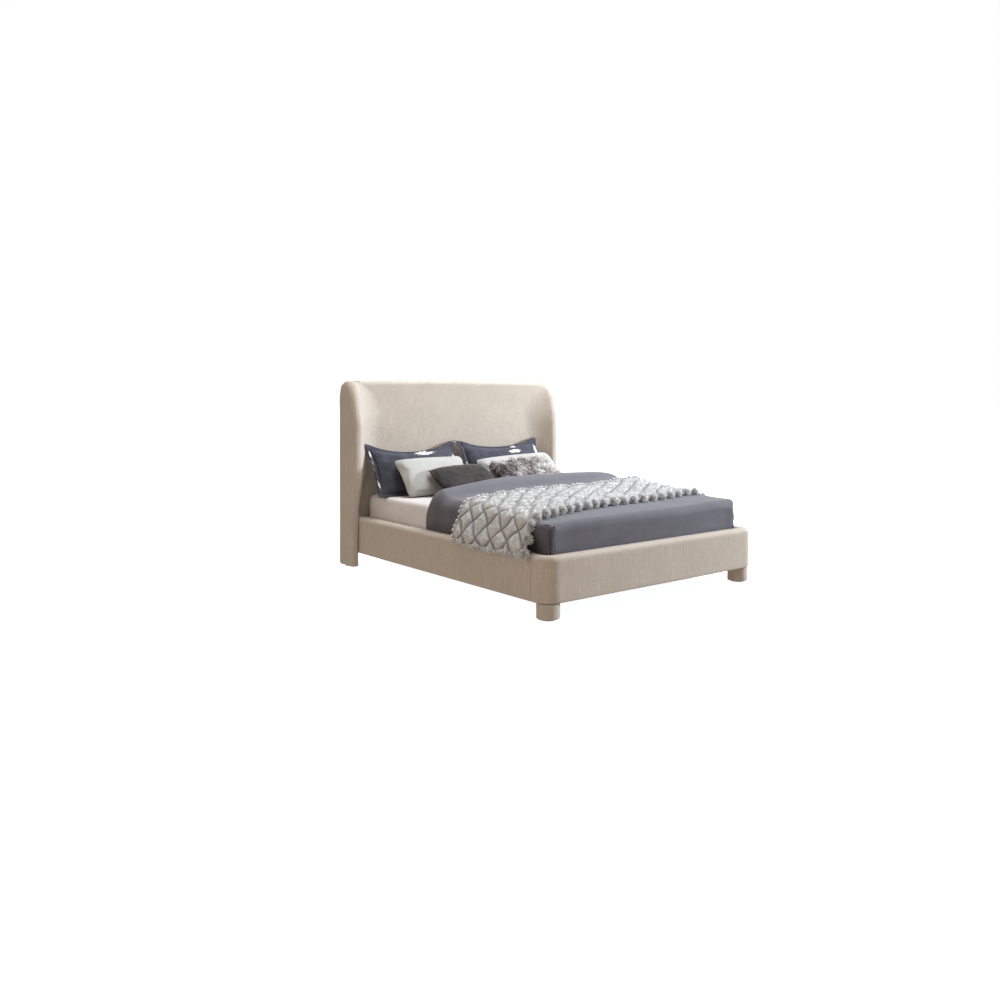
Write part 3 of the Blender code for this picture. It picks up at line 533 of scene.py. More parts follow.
def strands(name, rng, roots, normals, lean, length, width, tint, parts, curl, turns, droop, painted_root_shade):
    """Tapered hairs, each a closed three-sided spike that bends over as it lies down, its colour painted
    darker towards the root as painted shade.
    """
    count = len(roots)
    start = unit(normals + lean * 0.35)
    final = unit(normals * 0.25 + lean)
    side = unit(np.cross(start, rng.normal(size=(count, 3))))
    other = np.cross(start, side)
    phase = rng.random(count) * 2 * np.pi
    centre = roots - normals * ROOT_DEPTH
    rings, colours = [], []
    for step in range(parts + 1):
        share = step / parts
        if step:
            way = unit(start * (1 - share) + final * share)
            centre = centre + way * (length / parts)[:, None]
            centre[:, 2] -= droop * share * length / parts
        swing = curl * math.sin(math.pi * min(1.0, share * 1.3))
        angle = phase + turns * 2 * np.pi * share
        middle = centre + (side * np.cos(angle)[:, None] + other * np.sin(angle)[:, None]) * swing
        rows = 3 if step < parts else 1
        # Painted shade: each strand's colour is darkest at its root, where the hairs shade one another, and a
        # little paler than its tint at the tip.
        colours.append(np.repeat((tint * (painted_root_shade + (1.06 - painted_root_shade) * share))[:, None], rows, axis=1))
        if step == parts:
            rings.append(middle[:, None, :])
            break
        half = width * (1.0 - 0.55 * share**1.5) / 2
        ring = [
            middle + (side * math.cos(t) + other * math.sin(t)) * half[:, None]
            for t in (0.3, 0.3 + 2.0944, 0.3 + 4.1888)
        ]
        rings.append(np.stack(ring, axis=1))
    points = np.concatenate(rings, axis=1)
    faces = [(0, 2, 1)]
    for step in range(parts):
        for a, b in ((0, 1), (1, 2), (2, 0)):
            a, b = 3 * step + a, 3 * step + b
            faces += [(a, b, 3 * parts)] if step == parts - 1 else [(a, b, b + 3), (a, b + 3, a + 3)]
    triangles = (np.array(faces)[None] + (np.arange(count) * points.shape[1])[:, None, None]).reshape(-1, 3)
    tints = np.clip(np.concatenate(colours, axis=1).reshape(-1, 3), 0, 1)
    return triangle_mesh(name, points.reshape(-1, 3), triangles, tints)


# ---------------------------------------------------------------- headboard
SWEEP_ROOT = (
    (0.36, LEG_INNER), (0.50, 0.80), (0.72, 0.70), (0.90, 0.675), (1.04, 0.65),
    (1.11, 0.658), (1.20, 0.70), (1.275, 0.785), (HEADBOARD_HEIGHT, 0.84),
)
TOP_ROUNDING, BACK_ROUNDING, SIDE_ROUNDING = 0.030, 0.018, 0.012
SHOULDER_HEIGHT, SHOULDER_INSET = 0.139, 0.045
WING_BEND, WING_BEND_HEIGHT, WING_BEND_DEPTH, ROUNDNESS = 0.98, 0.324, 0.160, 2.6
LEG_MIDDLE = Vector((0.902, 1.02))
SWEEP_STEPS = 14


def bent_back(height, rounding):
    rise = max(0.0, height - (HEADBOARD_HEIGHT - rounding))
    return rounding - math.sqrt(max(0.0, rounding**2 - rise**2))


def half_width(height):
    """The headboard's half width, which draws in round its shoulders."""
    rise = max(0.0, height - (HEADBOARD_HEIGHT - SHOULDER_HEIGHT)) / SHOULDER_HEIGHT
    return HEADBOARD_HALF - SHOULDER_INSET * (1 - math.sqrt(max(0.0, 1 - rise**2)))


def wing_front(height):
    """Where the wing's front edge is: a little full in the middle, and bent back to the crown."""
    start = WING_FACE - 0.020 * ease(height, 0.40, 0.64) * ease(height, 1.18, WING_BEND)
    rise = min(1.0, max(0.0, height - WING_BEND) / WING_BEND_HEIGHT)
    return start + WING_BEND_DEPTH * (1 - (1 - rise**ROUNDNESS) ** (1 / ROUNDNESS))


def headboard_half(height):
    """The right half's outline at a height: the panel's line, the wing round to the back, the back's line."""
    raised = ease(height, 0.36, 0.60)
    back = COVER_BACK - bent_back(height, BACK_ROUNDING)
    panel = PANEL_FACE + bent_back(height, TOP_ROUNDING)
    half = half_width(height)
    front = wing_front(height)
    radius = min(0.014 + (NOSE_RADIUS - 0.014) * raised, 0.42 * (back - front))
    thickness = max(LEG_THICKNESS + (WING_THICKNESS - LEG_THICKNESS) * raised, 2 * radius)
    outer = arc((half - radius, front + radius), radius, 0, -90, 7)
    inner = arc((half - thickness + radius, front + radius), radius, -92, -180 + 66 * raised, 7)
    root = min(smooth_line(height, SWEEP_ROOT), inner[-1][0])
    (x, y), shares = inner[-1], [i / SWEEP_STEPS for i in range(1, SWEEP_STEPS)]
    sweep = [(root + (x - root) * share, panel + (y - panel) * share**1.75) for share in shares]
    corner = arc((half - SIDE_ROUNDING, back - SIDE_ROUNDING), SIDE_ROUNDING, 0, 90, 3)
    side = [(half, front + radius + (back - SIDE_ROUNDING - front - radius) * i / 6) for i in range(1, 6)]
    back_start = min(LEG_INNER, half - 0.03)
    core = [(root, panel)] + sweep + inner[::-1] + outer[::-1] + side + corner + [(back_start, back)]
    return (
        [(root * (i + 0.5) / 16, panel) for i in range(16)],
        core,
        [(back_start * (15.5 - i) / 16, back) for i in range(16)],
    )


def crowned(points, height):
    lowered = ease(height, 0.9, HEADBOARD_HEIGHT) * 0.010
    return [(x, y, height - lowered * (x / HEADBOARD_HALF) ** 2) for x, y in points]


def headboard_cover():
    """Foam and linen in one run: a flat panel that sweeps forward into two wings, down to two legs."""
    top = HEADBOARD_HEIGHT - TOP_ROUNDING
    levels = [PANEL_BASE + (1.262 - PANEL_BASE) * i / 62 for i in range(63)]
    levels += [top + TOP_ROUNDING * math.sin(math.radians(9 * i)) for i in range(11)]
    bm = bmesh.new()
    rows = []
    for z in levels:
        first, core, last = headboard_half(z)
        half = crowned(first + core + last, z)
        rows.append([(-x, y, h) for x, y, h in reversed(half)] + half)
    verts = skin(bm, rows)
    first, core, last = headboard_half(PANEL_BASE)
    count = len(verts[0])
    middle = count // 2
    inner_core = set(range(middle + len(first) + 1, middle + len(first) + len(core) - 1))
    inner_core |= {count - 1 - i for i in inner_core}
    base = cap(bm, [v for i, v in enumerate(verts[0]) if i not in inner_core])
    crown = cap(bm, verts[-1])
    for side in (-1, 1):
        leg_rows = []
        for z in (0.0063, 0.0075, 0.012, 0.03, 0.055, 0.08, PANEL_BASE):
            inset = 0.0016 if z < 0.007 else 0.0
            ring = [Vector(p) + (LEG_MIDDLE - Vector(p)).normalized() * inset for p in headboard_half(z)[1]]
            leg_rows.append([(side * x, y, z) for x, y in ring])
        cap(bm, skin(bm, leg_rows)[0])
    bmesh.ops.triangulate(bm, faces=[base, crown])
    bmesh.ops.remove_doubles(bm, verts=bm.verts, dist=0.00002)
    soften(bm, 0.0016, 6.0, 3.0, lambda p: p.z > 0.11 and p.y < COVER_BACK - 0.02)
    upholstered("headboard_linen", bm, "headboard_cover")


def headboard_back_trim():
    """A welt round the back board's edge."""
    inset = 0.006
    half = HEADBOARD_HALF - inset
    leg, foot = LEG_INNER + 0.004, 0.012
    outline = [(0.86 * i / 12, PANEL_BASE + inset) for i in range(12)]
    outline += [(leg, PANEL_BASE + inset - (PANEL_BASE - 0.008) * i / 4) for i in range(4)]
    outline += [(leg, foot), (half, foot)]
    outline += [(half, foot + (1.16 - foot) * i / 24) for i in range(1, 25)]
    outline += [(half_width(z) - inset, z) for z in (1.18, 1.20, 1.22, 1.235, 1.25, 1.262, 1.270)]
    outline += [(0.86 * (1 - i / 12), 1.2705) for i in range(1, 12)]
    outline += [(-x, z) for x, z in reversed(outline[1:])]
    points = [(x, BACK_FACE - 0.0022, z) for x, z in outline]
    piece("headboard_back_welt", tube(points, 0.0030, True), "linen", "frame", "linen")


# ---------------------------------------------------------------- rails and footboard
def rail_section(notch):
    """A rail's cross-section, its inner side rebated by a notch for the timber: distances in, and heights."""
    deep, base, top = RAIL_THICKNESS, FLOOR_CLEARANCE, RAIL_TOP
    low, high = 0.110 - GAP, 0.310 + GAP  # the timber's edges
    under, outside, inside = 0.010, 0.030, 0.020  # how round the edges are
    outer = [(0.0, base + under + (top - 0.040 - base) * i / 12) for i in range(1, 12)]
    return (
        arc((under, base + under), under, 270, 180, 4)
        + outer
        + arc((outside, top - outside), outside, 180, 90, 8)
        + [(0.047, top)]
        + arc((deep - inside, top - inside), inside, 90, 0, 6)
        + [(deep, high), (deep - notch, high), (deep - notch, low), (deep, low)]
        + arc((deep - under, base + under), under, 0, -90, 3)
        + [(deep * 0.7, base), (deep * 0.4, base)]
    )


def padded_section(notch, place, seed):
    """The section, its outer face a little full and uneven."""
    bulged = []
    for deep, z in rail_section(notch):
        full = max(0.0, 1 - deep / 0.05) * math.sin(math.pi * min(1.0, max(0.0, (z - 0.1) / 0.24)))
        bulged.append((deep + 0.0006 * full + 0.0009 * full * wander((place, 0.0, z), 7.0, seed), z))
    return bulged


def tucked(section, amount):
    """A section drawn in all round, where the cloth turns under at a seam."""
    middle = Vector((RAIL_THICKNESS / 2, (FLOOR_CLEARANCE + RAIL_TOP) / 2))
    reach = Vector((RAIL_THICKNESS / 2, (RAIL_TOP - FLOOR_CLEARANCE) / 2))
    shrink = Vector((1 - amount / reach.x, 1 - amount / reach.y))
    return [(middle.x + (d - middle.x) * shrink.x, middle.y + (z - middle.y) * shrink.y) for d, z in section]


SEAM_REACH, SEAM_DEPTH = 0.0075, 0.0055


def seam_tuck(distance):
    """How far the cloth turns in at a distance from a seam."""
    share = min(1.0, max(0.0, distance / SEAM_REACH))
    return SEAM_DEPTH * (1 - math.sqrt(1 - (1 - share) ** 2))


NOTCH, NO_NOTCH = 0.0253, 0.0001  # how deep the rebate for the timber is, and where there is none


def side_rails():
    head = PANEL_FACE - GAP
    for name, side in sides():
        foot = SEAM + GAP
        places = [foot, foot + 0.0008, foot + 0.002, foot + 0.004, foot + SEAM_REACH]
        places += [foot + SEAM_REACH + (head - 0.003 - SEAM_REACH - foot) * i / 90 for i in range(1, 90)]
        places += [head - 0.003, head - 0.0012, head]
        rows = []
        for y in places:
            tuck = max(seam_tuck(y - foot), 0.4 * seam_tuck(2 * (head - y)))
            section = tucked(padded_section(NOTCH, y, side * 4.0), tuck)
            rows.append([(side * (FRAME_HALF - d), y, z) for d, z in section])
        rail = closed_loft(rows, swap=True, axes=(0, 2))
        upholstered(f"side_rail_linen_{name}", rail, f"side_rail_cover_{name}")


def footboard_path():
    """The footboard's outer face in plan: place, inward direction and the depth of the timber's rebate."""
    straight = FOOT_FACE + CORNER_RADIUS
    centre = (FRAME_HALF - CORNER_RADIUS, straight)
    steps = (0.0, 0.0008, 0.002, 0.004, SEAM_REACH, 0.014, 0.022, SEAM - straight)
    right = [(FRAME_HALF, SEAM - back, -1.0, 0.0, NO_NOTCH) for back in steps]
    for i in range(1, 17):
        turn = math.radians(-90 * i / 16)
        c, s = math.cos(turn), math.sin(turn)
        right.append((centre[0] + CORNER_RADIUS * c, centre[1] + CORNER_RADIUS * s, -c, -s, NO_NOTCH))
    board = RAIL_INNER - 0.020 + GAP
    right.append((board + 0.0002, FOOT_FACE, 0.0, 1.0, NO_NOTCH))
    right += [(board * (1 - i / 32), FOOT_FACE, 0.0, 1.0, NOTCH) for i in range(32)]
    left = [(-x, y, -inx, iny, notch) for x, y, inx, iny, notch in reversed(right)]
    return right + [(0.0, FOOT_FACE, 0.0, 1.0, NOTCH)] + left


def footboard():
    """One padded piece that bends round both corners to a seam with each side rail."""
    path = footboard_path()
    rows = []
    distance = 0.0
    for i, (x, y, inx, iny, notch) in enumerate(path):
        if i:
            distance += math.dist((x, y), path[i - 1][:2])
        tuck = seam_tuck(SEAM - y) if abs(x) > FRAME_HALF - 0.001 else 0.0
        section = tucked(padded_section(notch, distance, 9.0), tuck)
        rows.append([(x + inx * d, y + iny * d, z) for d, z in section])
    upholstered("footboard_linen", closed_loft(rows, swap=True, axes=(0, 2)), "footboard_cover")


def front_feet():
    """Linen drums with rolled edges and a seam down the inner side."""
    top = FLOOR_CLEARANCE - 0.0036
    x, y = FOOT_PLACE
    levels = [(0.0585, 0.0063), (0.0615, 0.0066), (0.0633, 0.0080), (0.0643, 0.0110)]
    levels += [(FOOT_RADIUS, 0.0145 + (top - 0.005 - 0.0145) * i / 10) for i in range(11)]
    levels += [(0.0641, top - 0.0026), (0.0632, top - 0.0009), (0.0615, top)]
    for name, side in sides():
        rows = []
        for radius, z in levels:
            ring = []
            for i in range(96):
                turn = 2 * math.pi * i / 96
                seam = math.degrees(abs(math.remainder(turn - math.radians(90 + 35 * side), 2 * math.pi)))
                r = radius - 0.0012 * math.exp(-((seam / 1.6) ** 2))
                r += 0.0004 * wander((math.cos(turn), math.sin(turn), z * 8), 2.2, side)
                ring.append((side * x + r * math.cos(turn), y + r * math.sin(turn), z))
            rows.append(ring)
        piece(f"foot_linen_{name}", closed_loft(rows), "linen", "frame", "linen", (f"foot_{name}",))


# ---------------------------------------------------------------- mattress and sheet
BEDDING = ("white_cotton", "mattress", "white_cotton")  # paint, body and slot
MATTRESS_CORNER, SHEET_HEM = 0.045, 0.240


def rounded_plan(half, low_y, high_y, radius, steps, straight):
    """A rectangle in plan with round corners, its sides divided evenly."""
    x, low, high = half - radius, low_y + radius, high_y - radius
    centres = ((x, low), (x, high), (-x, high), (-x, low))
    corners = [arc(centre, radius, 90 * i - 90, 90 * i, steps) for i, centre in enumerate(centres)]
    ring = []
    for i, corner in enumerate(corners):
        ring += corner
        a, b = Vector(corner[-1]), Vector(corners[(i + 1) % 4][0])
        ring += [tuple(a.lerp(b, k / straight)) for k in range(1, straight)]
    return ring


def block_rows(grow, base, top, edge=0.030):
    """Rings up a mattress-shaped block and in across its top."""
    profile = [(0.0, base + (top - edge - base) * i / 14) for i in range(15)]
    profile += [(edge - dx, top - edge + dz) for dx, dz in arc((0, 0), edge, 0, 90, 6)[1:]]
    profile += [(edge + (0.735 - edge) * (i / 20) ** 1.1, top) for i in range(1, 21)]
    rows = []
    for inward, height in profile:
        out, radius = grow - inward, max(0.006, MATTRESS_CORNER + grow - inward * 0.5)
        plan = rounded_plan(MATTRESS_HALF + out, MATTRESS_FOOT - out, MATTRESS_HEAD + out, radius, 6, 34)
        rows.append([(x, y, height) for x, y in plan])
    return rows


def mattress():
    """The mattress under the sheet: quilted ticking, with a corded edge at its base."""
    base = [(x * 0.985, y * 0.985, z) for x, y, z in block_rows(-0.012, MATTRESS_BASE, MATTRESS_TOP)[0]]
    bm = closed_loft([base] + block_rows(0.0, MATTRESS_BASE + 0.010, MATTRESS_TOP))
    made = piece("mattress_quilted", bm, "ticking", "mattress", "white_cotton", ("mattress",))
    half, foot, head = MATTRESS_HALF - 0.001, MATTRESS_FOOT + 0.001, MATTRESS_HEAD - 0.001
    plan = rounded_plan(half, foot, head, MATTRESS_CORNER, 8, 30)
    cord = tube([(x, y, MATTRESS_BASE + 0.0075) for x, y in plan], 0.0040, True)
    piece("mattress_cord", cord, *BEDDING)


def sheet_wrinkle(point):
    """How far the sheet stands off the mattress here: slack at the sides, drawn tight on top."""
    x, y, z = point
    side = ease(z, 0.485, 0.40)
    slack = 0.0062 + 0.0062 * wander((x * 0.6, y * 5.0 + z * 7.0, z * 12.0), 1.0, 5.0)
    slack += 0.0026 * wander((x, y * 9, z * 26), 1.0, 8.0)
    flat = 0.0012 + 0.0011 * wander((x * 5.0, y * 3.0, 0), 1.0, 11.0)
    return slack * side + flat * (1 - side)


def fitted_sheet():
    """A fitted sheet, with its elastic hem pulled in below the mattress's middle."""
    outer = []
    for row in block_rows(0.0022, SHEET_HEM, SHEET_TOP - 0.0016):
        ring = []
        for i, point in enumerate(row):
            ahead, behind = Vector(row[(i + 1) % len(row)]), Vector(row[i - 1])
            out = (ahead - behind).cross(Vector((0, 0, 1))).normalized()
            up = ease(point[2], 0.468, 0.4902)
            way = (out * (1 - up) + Vector((0, 0, up))).normalized()
            ring.append(Vector(point) + way * sheet_wrinkle(point))
        outer.append(ring)
    inner = block_rows(0.0006, SHEET_HEM, MATTRESS_TOP + 0.0004)
    bm = closed_loft(inner[::-1] + outer)
    made = piece("fitted_sheet_cloth", bm, *BEDDING, ("fitted_sheet",), 50.0)
    hem = rounded_plan(MATTRESS_HALF + 0.0035, MATTRESS_FOOT - 0.0035, MATTRESS_HEAD + 0.0035, 0.047, 8, 40)
    cord = tube([(x, y, 0.2415) for x, y in hem], 0.0024, True)
    piece("fitted_sheet_hem", cord, *BEDDING)


# ---------------------------------------------------------------- duvet
DUVET_TOP = (
    (-1.03, 0.514), (-0.75, 0.524), (-0.12, 0.567), (-0.03, 0.568),
    (0.04, 0.582), (0.12, 0.620), (0.20, 0.637), (0.34, 0.630),
)
DUVET_SHOULDER = ((-1.03, 0.024), (-0.75, 0.036), (-0.30, 0.070), (0.0, 0.084), (0.30, 0.105))
DUVET_CROWN = ((-1.03, 0.010), (-0.30, 0.014), (0.30, 0.026))
DUVET_HEAD_LINE = ((-DUVET_HALF, 0.207), (-0.50, 0.272), (0.0, 0.325), (0.40, 0.330), (DUVET_HALF, 0.318))
DUVET_ROLL = 0.205  # where the roll at the head starts
TUCK_HALF, TUCK_FOOT = 0.7885, -1.0345  # how far out the duvet may go between the rails


def duvet_line(y, grow=0.0):
    """The duvet's outer line over the bed at one place, from the right round to the left."""
    top = smooth_line(y, DUVET_TOP) + grow
    radius = smooth_line(y, DUVET_SHOULDER)
    half, crown = DUVET_HALF + grow, smooth_line(y, DUVET_CROWN)

    def shoulder(radius):
        curve = arc((half - radius, top - crown - radius), radius, 0, 90, 10)
        span = half - radius
        return curve + [(span * (1 - i / 14), top - crown * (1 - i / 14) ** 2) for i in range(1, 14)]

    line = shoulder(radius * 0.6) + [(0.0, top)] + [(-x, z) for x, z in reversed(shoulder(radius))]
    right = 0.018 + 0.020 * ease(y, -0.6, -0.05) - 0.026 * ease(y, 0.0, 0.20)
    left = 0.018 * ease(y, 0.0, 0.25)
    return [(x, z + right * ease(x, 0.25, 0.70) - left * ease(-x, 0.20, 0.72)) for x, z in line]


def duvet_rows():
    """Rings round the duvet, from its rounded foot edge to the roll at its head."""
    edge, roll = 0.050, DUVET_HEAD - DUVET_ROLL
    first = DUVET_FOOT + edge
    foot_turns, roll_turns = (map(math.radians, turns) for turns in (range(0, 91, 10), range(10, 91, 8)))
    stations = [(DUVET_FOOT + edge * (1 - math.cos(a)), edge * (1 - math.sin(a))) for a in foot_turns]
    stations += [(first + (DUVET_ROLL - first) * i / 60, 0.0) for i in range(1, 61)]
    stations += [(DUVET_ROLL + roll * math.sin(a), 0.110 * (1 - math.cos(a))) for a in roll_turns]
    rows = []
    for y, drop in stations:
        slim = (DUVET_HALF - drop) / DUVET_HALF if y < 0 else 1.0
        arch = [(x * slim, max(DUVET_HEM + 0.01, z - drop)) for x, z in duvet_line(y)]
        wall, other = (
            [(x, DUVET_HEM + (z - DUVET_HEM) * i / 10) for i in range(10)] for x, z in (arch[0], arch[-1])
        )
        drawn = ease(y, -0.05, DUVET_HEAD)
        ring = wall + arch + other[::-1]
        rows.append([(x, y + drawn * (smooth_line(x, DUVET_HEAD_LINE) - DUVET_HEAD), z) for x, z in ring])
    return rows


def duvet_fold(point):
    """How far the duvet's face moves at a point: long soft folds, and a pleat at each foot corner."""
    x, y, z = point
    long_folds = 0.0040 * wander((x * 1.4, y * 4.5, z * 2.0), 1.0, 2.0)
    long_folds += 0.0022 * wander((x * 4, y * 8, z * 5), 1.0, 7.0)
    long_folds += ease(y, 0.05, 0.30) * 0.0030 * wander((x * 9.0, y * 4.0, z * 9.0), 1.0, 4.0)
    slack = 0.35 + 0.65 * ease(y, -1.0, -0.4)
    move = long_folds * slack
    if y < -0.985 and z < 0.512:
        off = abs(x) - fold_edge(z)
        low_part = ease(z, 0.500, 0.465)
        move += 0.0060 * math.exp(-((off / 0.060) ** 2)) * low_part * (off < 0)
        move -= 0.0040 * (off >= 0) * low_part
    return move


def fold_edge(z):
    """How far from the middle the folded edge at a foot corner is, at a height."""
    return 0.738 + 0.022 * ease(z, 0.50, 0.35) + 0.0015 * wander((z * 30, 1, 0), 1.0)


def duvet_corner_folds():
    """At each foot corner the side is tucked in under the foot's face, whose edge is a rounded fold."""
    for name, side in sides():
        heights = [0.340 + 0.152 * i / 24 for i in range(25)]
        face = DUVET_FOOT + 0.0005
        line = [(side * fold_edge(z), face + 0.008 * ease(z, 0.470, 0.492), z) for z in heights]
        piece(f"duvet_fold_{name}", tube(line, 0.0052), "grey_cotton", "mattress", "grey_cotton")


def duvet_room(low, high):
    """The room inside the duvet for the mattress and its sheet, bevelled round its top."""
    bm = bmesh.new()
    bmesh.ops.create_cube(bm, size=1.0)
    for v in bm.verts:
        v.co = Vector(((low[i] + high[i]) / 2 + v.co[i] * (high[i] - low[i]) for i in range(3)))
    top_edges = [e for e in bm.edges if all(v.co.z > SHEET_TOP for v in e.verts)]
    bmesh.ops.bevel(bm, geom=top_edges, offset=0.024, segments=1, affect="EDGES")
    return linked(bpy.data.objects.new("duvet_room", to_mesh("duvet_room", bm)))


def duvet():
    """A quilt tucked in down the sides and foot, thick where it is turned back at the head."""
    quilt = closed_loft(duvet_rows(), axes=(0, 2))
    solid = linked(bpy.data.objects.new("duvet_shape", to_mesh("duvet_shape", quilt)))
    clear, margin = 0.0055, 0.004
    low = Vector((-MATTRESS_HALF - clear, MATTRESS_FOOT - clear, 0.1))
    high = Vector((MATTRESS_HALF + clear, 1.2, SHEET_TOP + 0.0035))
    room = duvet_room(low, high)
    cutting = solid.modifiers.new("room", "BOOLEAN")
    cutting.operation, cutting.solver, cutting.object = "DIFFERENCE", "EXACT", room
    remesh = solid.modifiers.new("even", "REMESH")
    remesh.mode, remesh.voxel_size, remesh.adaptivity = "VOXEL", 0.0058, 0.0
    smooth = solid.modifiers.new("smooth", "SMOOTH")
    smooth.factor, smooth.iterations = 0.5, 4
    mesh = baked(solid)
    bpy.data.objects.remove(room)
    bpy.data.objects.remove(solid)
    bm = bmesh.new()
    bm.from_mesh(mesh)
    bm.normal_update()
    moves = []
    for v in bm.verts:
        x, y, z = v.co
        if not (low.x - margin < x < high.x + margin and y > low.y - margin and z < high.z + margin):
            moves.append((v, v.normal * duvet_fold(v.co) * ease(z, 0.29, 0.36)))
    for v, move in moves:
        v.co += move
        v.co.x *= 1 + 0.020 * ease(v.co.z, 0.35, 0.42) * ease(v.co.y, 0.20, 0.05)
        if v.co.z < RAIL_TOP + 0.008:
            v.co.x = max(-TUCK_HALF, min(TUCK_HALF, v.co.x))
            v.co.y = max(TUCK_FOOT, v.co.y)
    bm.to_mesh(mesh)
    bm.free()
    piece("duvet_cover", mesh, "grey_cotton", "mattress", "grey_cotton", ("duvet",), 0)


def baked(thing):
    """An object's mesh with its modifiers applied."""
    graph = bpy.context.evaluated_depsgraph_get()
    graph.update()
    return bpy.data.meshes.new_from_object(thing.evaluated_get(graph))


# ---------------------------------------------------------------- fur throw
THROW_LATTICE = (0.166, 0.140)  # a diamond's length along the throw, and its width
THROW_STEPS = (370, 116)
THROW_FLAT = (0.66, 2.12)
PELT_TOP, PELT_BASE = 0.0075, 0.0010  # above the duvet
PELT_HAIRS, TUFT_HAIRS = 16000, 320


def travelled(points):
    """The distance along a line of points to each of them."""
    return np.concatenate([[0], np.cumsum(np.linalg.norm(np.diff(points, axis=0), axis=1))])


def resampled(points, count):
    """Evenly spaced points along a line, its corners rounded."""
    points = np.array(points)
    reach = 2
    for _ in range(2):
        way = travelled(points)
        at = np.linspace(0, way[-1], count)
        points = np.stack([np.interp(at, way, points[:, i]) for i in range(points.shape[1])], axis=1)
        padded = np.concatenate([np.repeat(points[:1], reach, 0), points, np.repeat(points[-1:], reach, 0)])
        points = sum(padded[i : i + count] for i in range(2 * reach + 1)) / (2 * reach + 1)
    return points


def throw_line(y, grow, hem):
    """The throw's path across the bed, from its right hem to its left one, which hangs over the rail."""
    line = duvet_line(max(-1.0, min(0.3, y)), grow + 0.0035)
    arch = [(x, z) for x, z in line if x > -0.70]
    drop = arch[-1][1] - 0.556
    half = DUVET_HALF + grow + 0.0035
    over, outside = RAIL_TOP + 0.008 + grow, FRAME_HALF + 0.008 + grow
    fall = ((-0.742, 0.541, 0.9), (-0.782, 0.508, 0.7), (-0.822, 0.463, 0.4), (-0.856, 0.413, 0.2))
    left = [(x, z + drop * share) for x, z, share in fall]
    left += [(-outside + 0.010, over + 0.016), (-outside, over - 0.020), (-outside, hem)]
    under_x, under_z = zip(*line[::-1])
    left = [(x, max(z, float(np.interp(x, under_x, under_z)) + 0.003) if x > -half else z) for x, z in left]
    return [(half, 0.400)] + arch + left


def throw_grid(grow):
    """Points on the throw, by place along it and across it."""
    along, across = THROW_STEPS
    grid = np.zeros((along, across, 3))
    for j in range(across):
        t = j / (across - 1)
        hem = 0.332 - 0.010 * math.sin(math.pi * min(1, t * 1.15)) + 0.004 * math.sin(19 * t)
        line = resampled(throw_line(-0.145 - 0.610 * t, grow, hem), along)
        x = line[:, 0]
        slant = (-0.145 - 0.040 * (x + 0.1)) * (1 - t) + (-0.755 + 0.022 * (x + 0.1)) * t
        step = np.linalg.norm(np.diff(line, axis=0, prepend=line[:1]), axis=1)
        left = np.sum(step) - np.cumsum(step)
        hanging = np.clip((0.80 - left) / 0.80, 0, 1) ** 1.3
        places = np.linspace(0, 2, along)
        wave = 0.009 * np.array([wander((0.0, t * 0.6, s * 5.0), 1.0, 12.0) for s in places])
        grid[:, j] = np.stack([x, slant - (0.160 + 0.030 * t) * hanging + wave, line[:, 1]], axis=1)
    return grid


def lattice(along, across):
    """How far a place on the throw is from the nearest of the dark lines that cross it in diamonds."""
    length, width = THROW_LATTICE
    bend = 0.05 * np.sin(along * 31.0 + across * 12.0) + 0.04 * np.sin(across * 47.0 - along * 9.0)
    near = np.full(along.shape, 9.0)
    steep = math.hypot(1 / length, 1 / width)
    for sign in (1, -1):
        line = along / length + sign * across / width + bend
        near = np.minimum(near, np.abs((line + 0.5) % 1.0 - 0.5) / steep)
    return near


def line_share(near, width=0.0088):
    """1 on one of the throw's dark lines, and 0 away from it."""
    return np.exp(-((near / width) ** 2))


def fur_throw():
    """A pelt of plush fur in puffed diamonds with dark lines between, and full tufts along its edges."""
    over, under = (throw_grid(height) for height in (PELT_TOP, PELT_BASE))
    along, across = THROW_STEPS
    s = travelled(over[:, across // 2])
    t = np.linspace(0, THROW_FLAT[0], across)
    flat_s, flat_t = np.meshgrid(s, t, indexing="ij")
    flat = np.stack([flat_s.ravel(), flat_t.ravel()], axis=1)
    near = lattice(flat_s, flat_t)
    normals = np.cross(np.gradient(over, axis=0), np.gradient(over, axis=1))
    normals = unit(normals.reshape(-1, 3)).reshape(over.shape)
    if normals[along // 2, across // 2, 2] < 0:
        normals = -normals
    puff = 0.011 * (1 - np.exp(-((near / 0.017) ** 2)))
    raised = over + normals * puff[:, :, None]
    rows = [np.concatenate([under[i], raised[i][::-1]]) for i in range(along)]
    mesh = to_mesh("throw_pelt", closed_loft(rows))
    rng = np.random.default_rng(7)
    tint = fur_tint(rng, near.ravel(), flat, near.size, 0.07).reshape(along, across, 3)
    tints = np.concatenate([np.full((along, across, 3), 0.35), tint[:, ::-1]], axis=1).reshape(-1, 3) * 0.92
    pelt = piece("throw_pelt", tinted(mesh, tints), "fur", "mattress", "fur", ("fur_throw",), 60.0)
    index = np.arange(along * across).reshape(along, across)
    a, b, c, d = (x.ravel() for x in (index[:-1, :-1], index[1:, :-1], index[1:, 1:], index[:-1, 1:]))
    triangles = np.concatenate([np.stack([a, b, c], 1), np.stack([a, c, d], 1)])
    for number in range(3):
        values = [flat, normals.reshape(-1, 3)]
        roots, _, (place, out) = scatter(rng, raised.reshape(-1, 3), triangles, PELT_HAIRS, values)
        fur_piece(f"throw_fur_{number + 1}", rng, roots, unit(out), place)
    throw_tufts(rng, raised, normals, s, t)


PALE_FUR, SMOKE_FUR, DARK_FUR = (0.71, 0.71, 0.71), (0.58, 0.575, 0.575), (0.15, 0.148, 0.156)


def blended(share, first, second):
    """Each strand's colour between two others."""
    share = share[:, None]
    return np.array(first) * (1 - share) + np.array(second) * share


